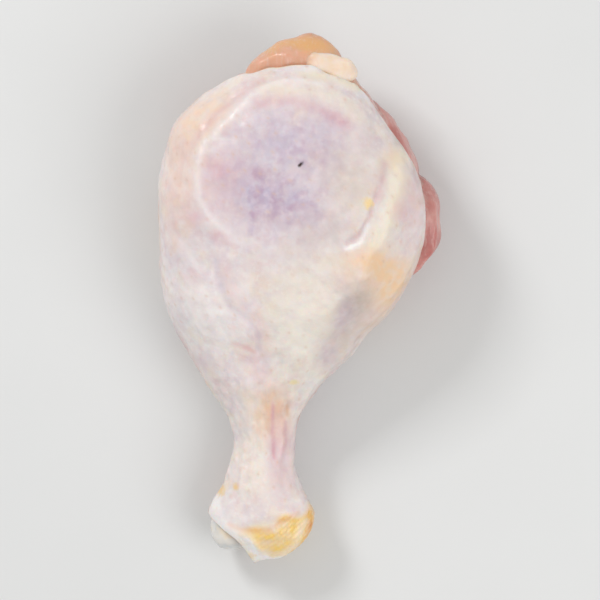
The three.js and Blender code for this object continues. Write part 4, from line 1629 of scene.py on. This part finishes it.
@dataclass
class FatPad:
    """The pad of fat in front of the knee joint.

    Attributes:
        form: The leg's form.
        lump: The pad's shape.
        face: Size of its faces.
        softness: Rounds of smoothing.
        ripples: Its fine unevenness.
        rosy_below: Heights where its underside starts to turn rosy and where it is.
        rosy_left: Places across the leg where its left end starts to, where it is, and how far.
    """

    form: LegForm
    lump: Lump = Lump((9.3, 126.4, 27.6), (7.1, 3.3, 2.4), -17, (0.3, 0.06, 0.05), 0.87)
    face: float = 0.3
    softness: int = 2
    ripples: tuple[Ripple, ...] = (Ripple(0.2, 5, 51), Ripple(0.06, 2.2, 52))
    rosy_below: Pair = (28.2, 25.2)
    rosy_left: Triple = (7, 2.5, 0.75)

    def build(self) -> bpy.types.Object:
        """Makes the pad and dresses it.

        Returns:
            The pad.
        """
        pad = fused([self.lump.build(self.form)], "knee_fat", self.face, self.softness)
        places = roughen(pad, self.ripples)
        start, end, most = self.rosy_left
        left = most * ease(places[:, 0] + self.form.middle[0], start, end)
        hold_mark(pad, "root", np.maximum(ease(places[:, 2], *self.rosy_below), left))
        dress(pad, SoftFat().material())
        return pad


# ---- The studio ----


@dataclass(frozen=True)
class SoftLight:
    """A square soft light: its place and size in metres, its power and the colour of its cloth."""

    name: str
    at: Triple
    size: float
    watts: float
    colour: str = "#ffffff"


@dataclass
class Studio:
    """The pale board, the soft lights and the camera straight above.

    Attributes:
        lens: The camera's focal length.
        sensor: Its sensor's width.
        filled: Share of the picture's height that the drumstick fills.
        board_size: Length of the board's sides, in metres.
        board_gap: How far the board lies under the drumstick, so that the two don't share a face.
        sky_colour: Colour of the light from all round.
        sky_strength: Its strength.
        lights: The soft lights.
    """

    lens: float = 300
    sensor: float = 36
    filled: float = 0.88
    board_size: float = 6
    board_gap: float = 0.05
    sky_colour: str = "#f4f3f1"
    sky_strength: float = 0.6
    lights: tuple[SoftLight, ...] = (
        SoftLight("key", (-0.4, 0.42, 0.5), 0.18, 2.4),
        SoftLight("fill", (0.35, -0.2, 0.45), 0.4, 1.3),
    )

    def build(self, box: tuple[Vector, Vector]) -> None:
        """Makes everything round the object.

        Args:
            box: The object's lowest and highest corners, in metres.
        """
        self.board()
        self.sky()
        for light in self.lights:
            self.hang(light)
        self.camera(box)
        bpy.context.scene.view_settings.view_transform = "Standard"

    def board(self) -> None:
        """Lays the board that the drumstick lies on."""
        bpy.ops.mesh.primitive_plane_add(size=self.board_size, location=(0, 0, -self.board_gap * MM))
        board = bpy.context.active_object
        board.name = "board"
        dress(board, PaleBoard().material())

    def sky(self) -> None:
        """Makes an even pale light from all round."""
        world = bpy.data.worlds.new("pale")
        world.use_nodes = True
        background = world.node_tree.nodes["Background"]
        background.inputs["Color"].default_value = linear(self.sky_colour)
        background.inputs["Strength"].default_value = self.sky_strength
        bpy.context.scene.world = world

    def hang(self, soft: SoftLight) -> None:
        """Hangs one light, aimed at the object.

        Args:
            soft: The light.
        """
        data = bpy.data.lights.new(soft.name, "AREA")
        data.size = soft.size
        data.energy = soft.watts
        data.color = linear(soft.colour)[:3]
        light = bpy.data.objects.new(soft.name, data)
        light.location = soft.at
        light.rotation_euler = (-Vector(soft.at)).to_track_quat("-Z", "Y").to_euler()
        bpy.context.scene.collection.objects.link(light)

    def camera(self, box: tuple[Vector, Vector]) -> None:
        """Puts the camera straight above the object's middle.

        Args:
            box: The object's lowest and highest corners, in metres.
        """
        low, high = box
        middle = (low + high) / 2
        data = bpy.data.cameras.new("overhead")
        data.lens = self.lens
        data.sensor_width = self.sensor
        away = (high.y - low.y) / self.filled * self.lens / self.sensor
        camera = bpy.data.objects.new("overhead_camera", data)
        camera.location = (middle.x, middle.y, middle.z + away)
        bpy.context.scene.collection.objects.link(camera)
        bpy.context.scene.camera = camera


def main() -> None:
    """Builds the drumstick piece by piece and then the studio."""
    logging.basicConfig(level=logging.INFO, format="%(name)s: %(message)s")
    form = LegForm()
    makers = (
        (SkinSleeve(form), "skin", "skin"),
        (Flesh(form), "meat", "meat"),
        (Tibia(form), "bone", "bone"),
        (FatPad(form), "fat_pad", "fat"),
    )
    for maker, node, slot in makers:
        piece = maker.build()
        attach(piece, BODY)
        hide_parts(node)
        log.info("%s stands for %s: %d faces", piece.name, node, len(piece.data.polygons))
    Studio().build(cad_box)


if __name__ == "__main__":
    main()
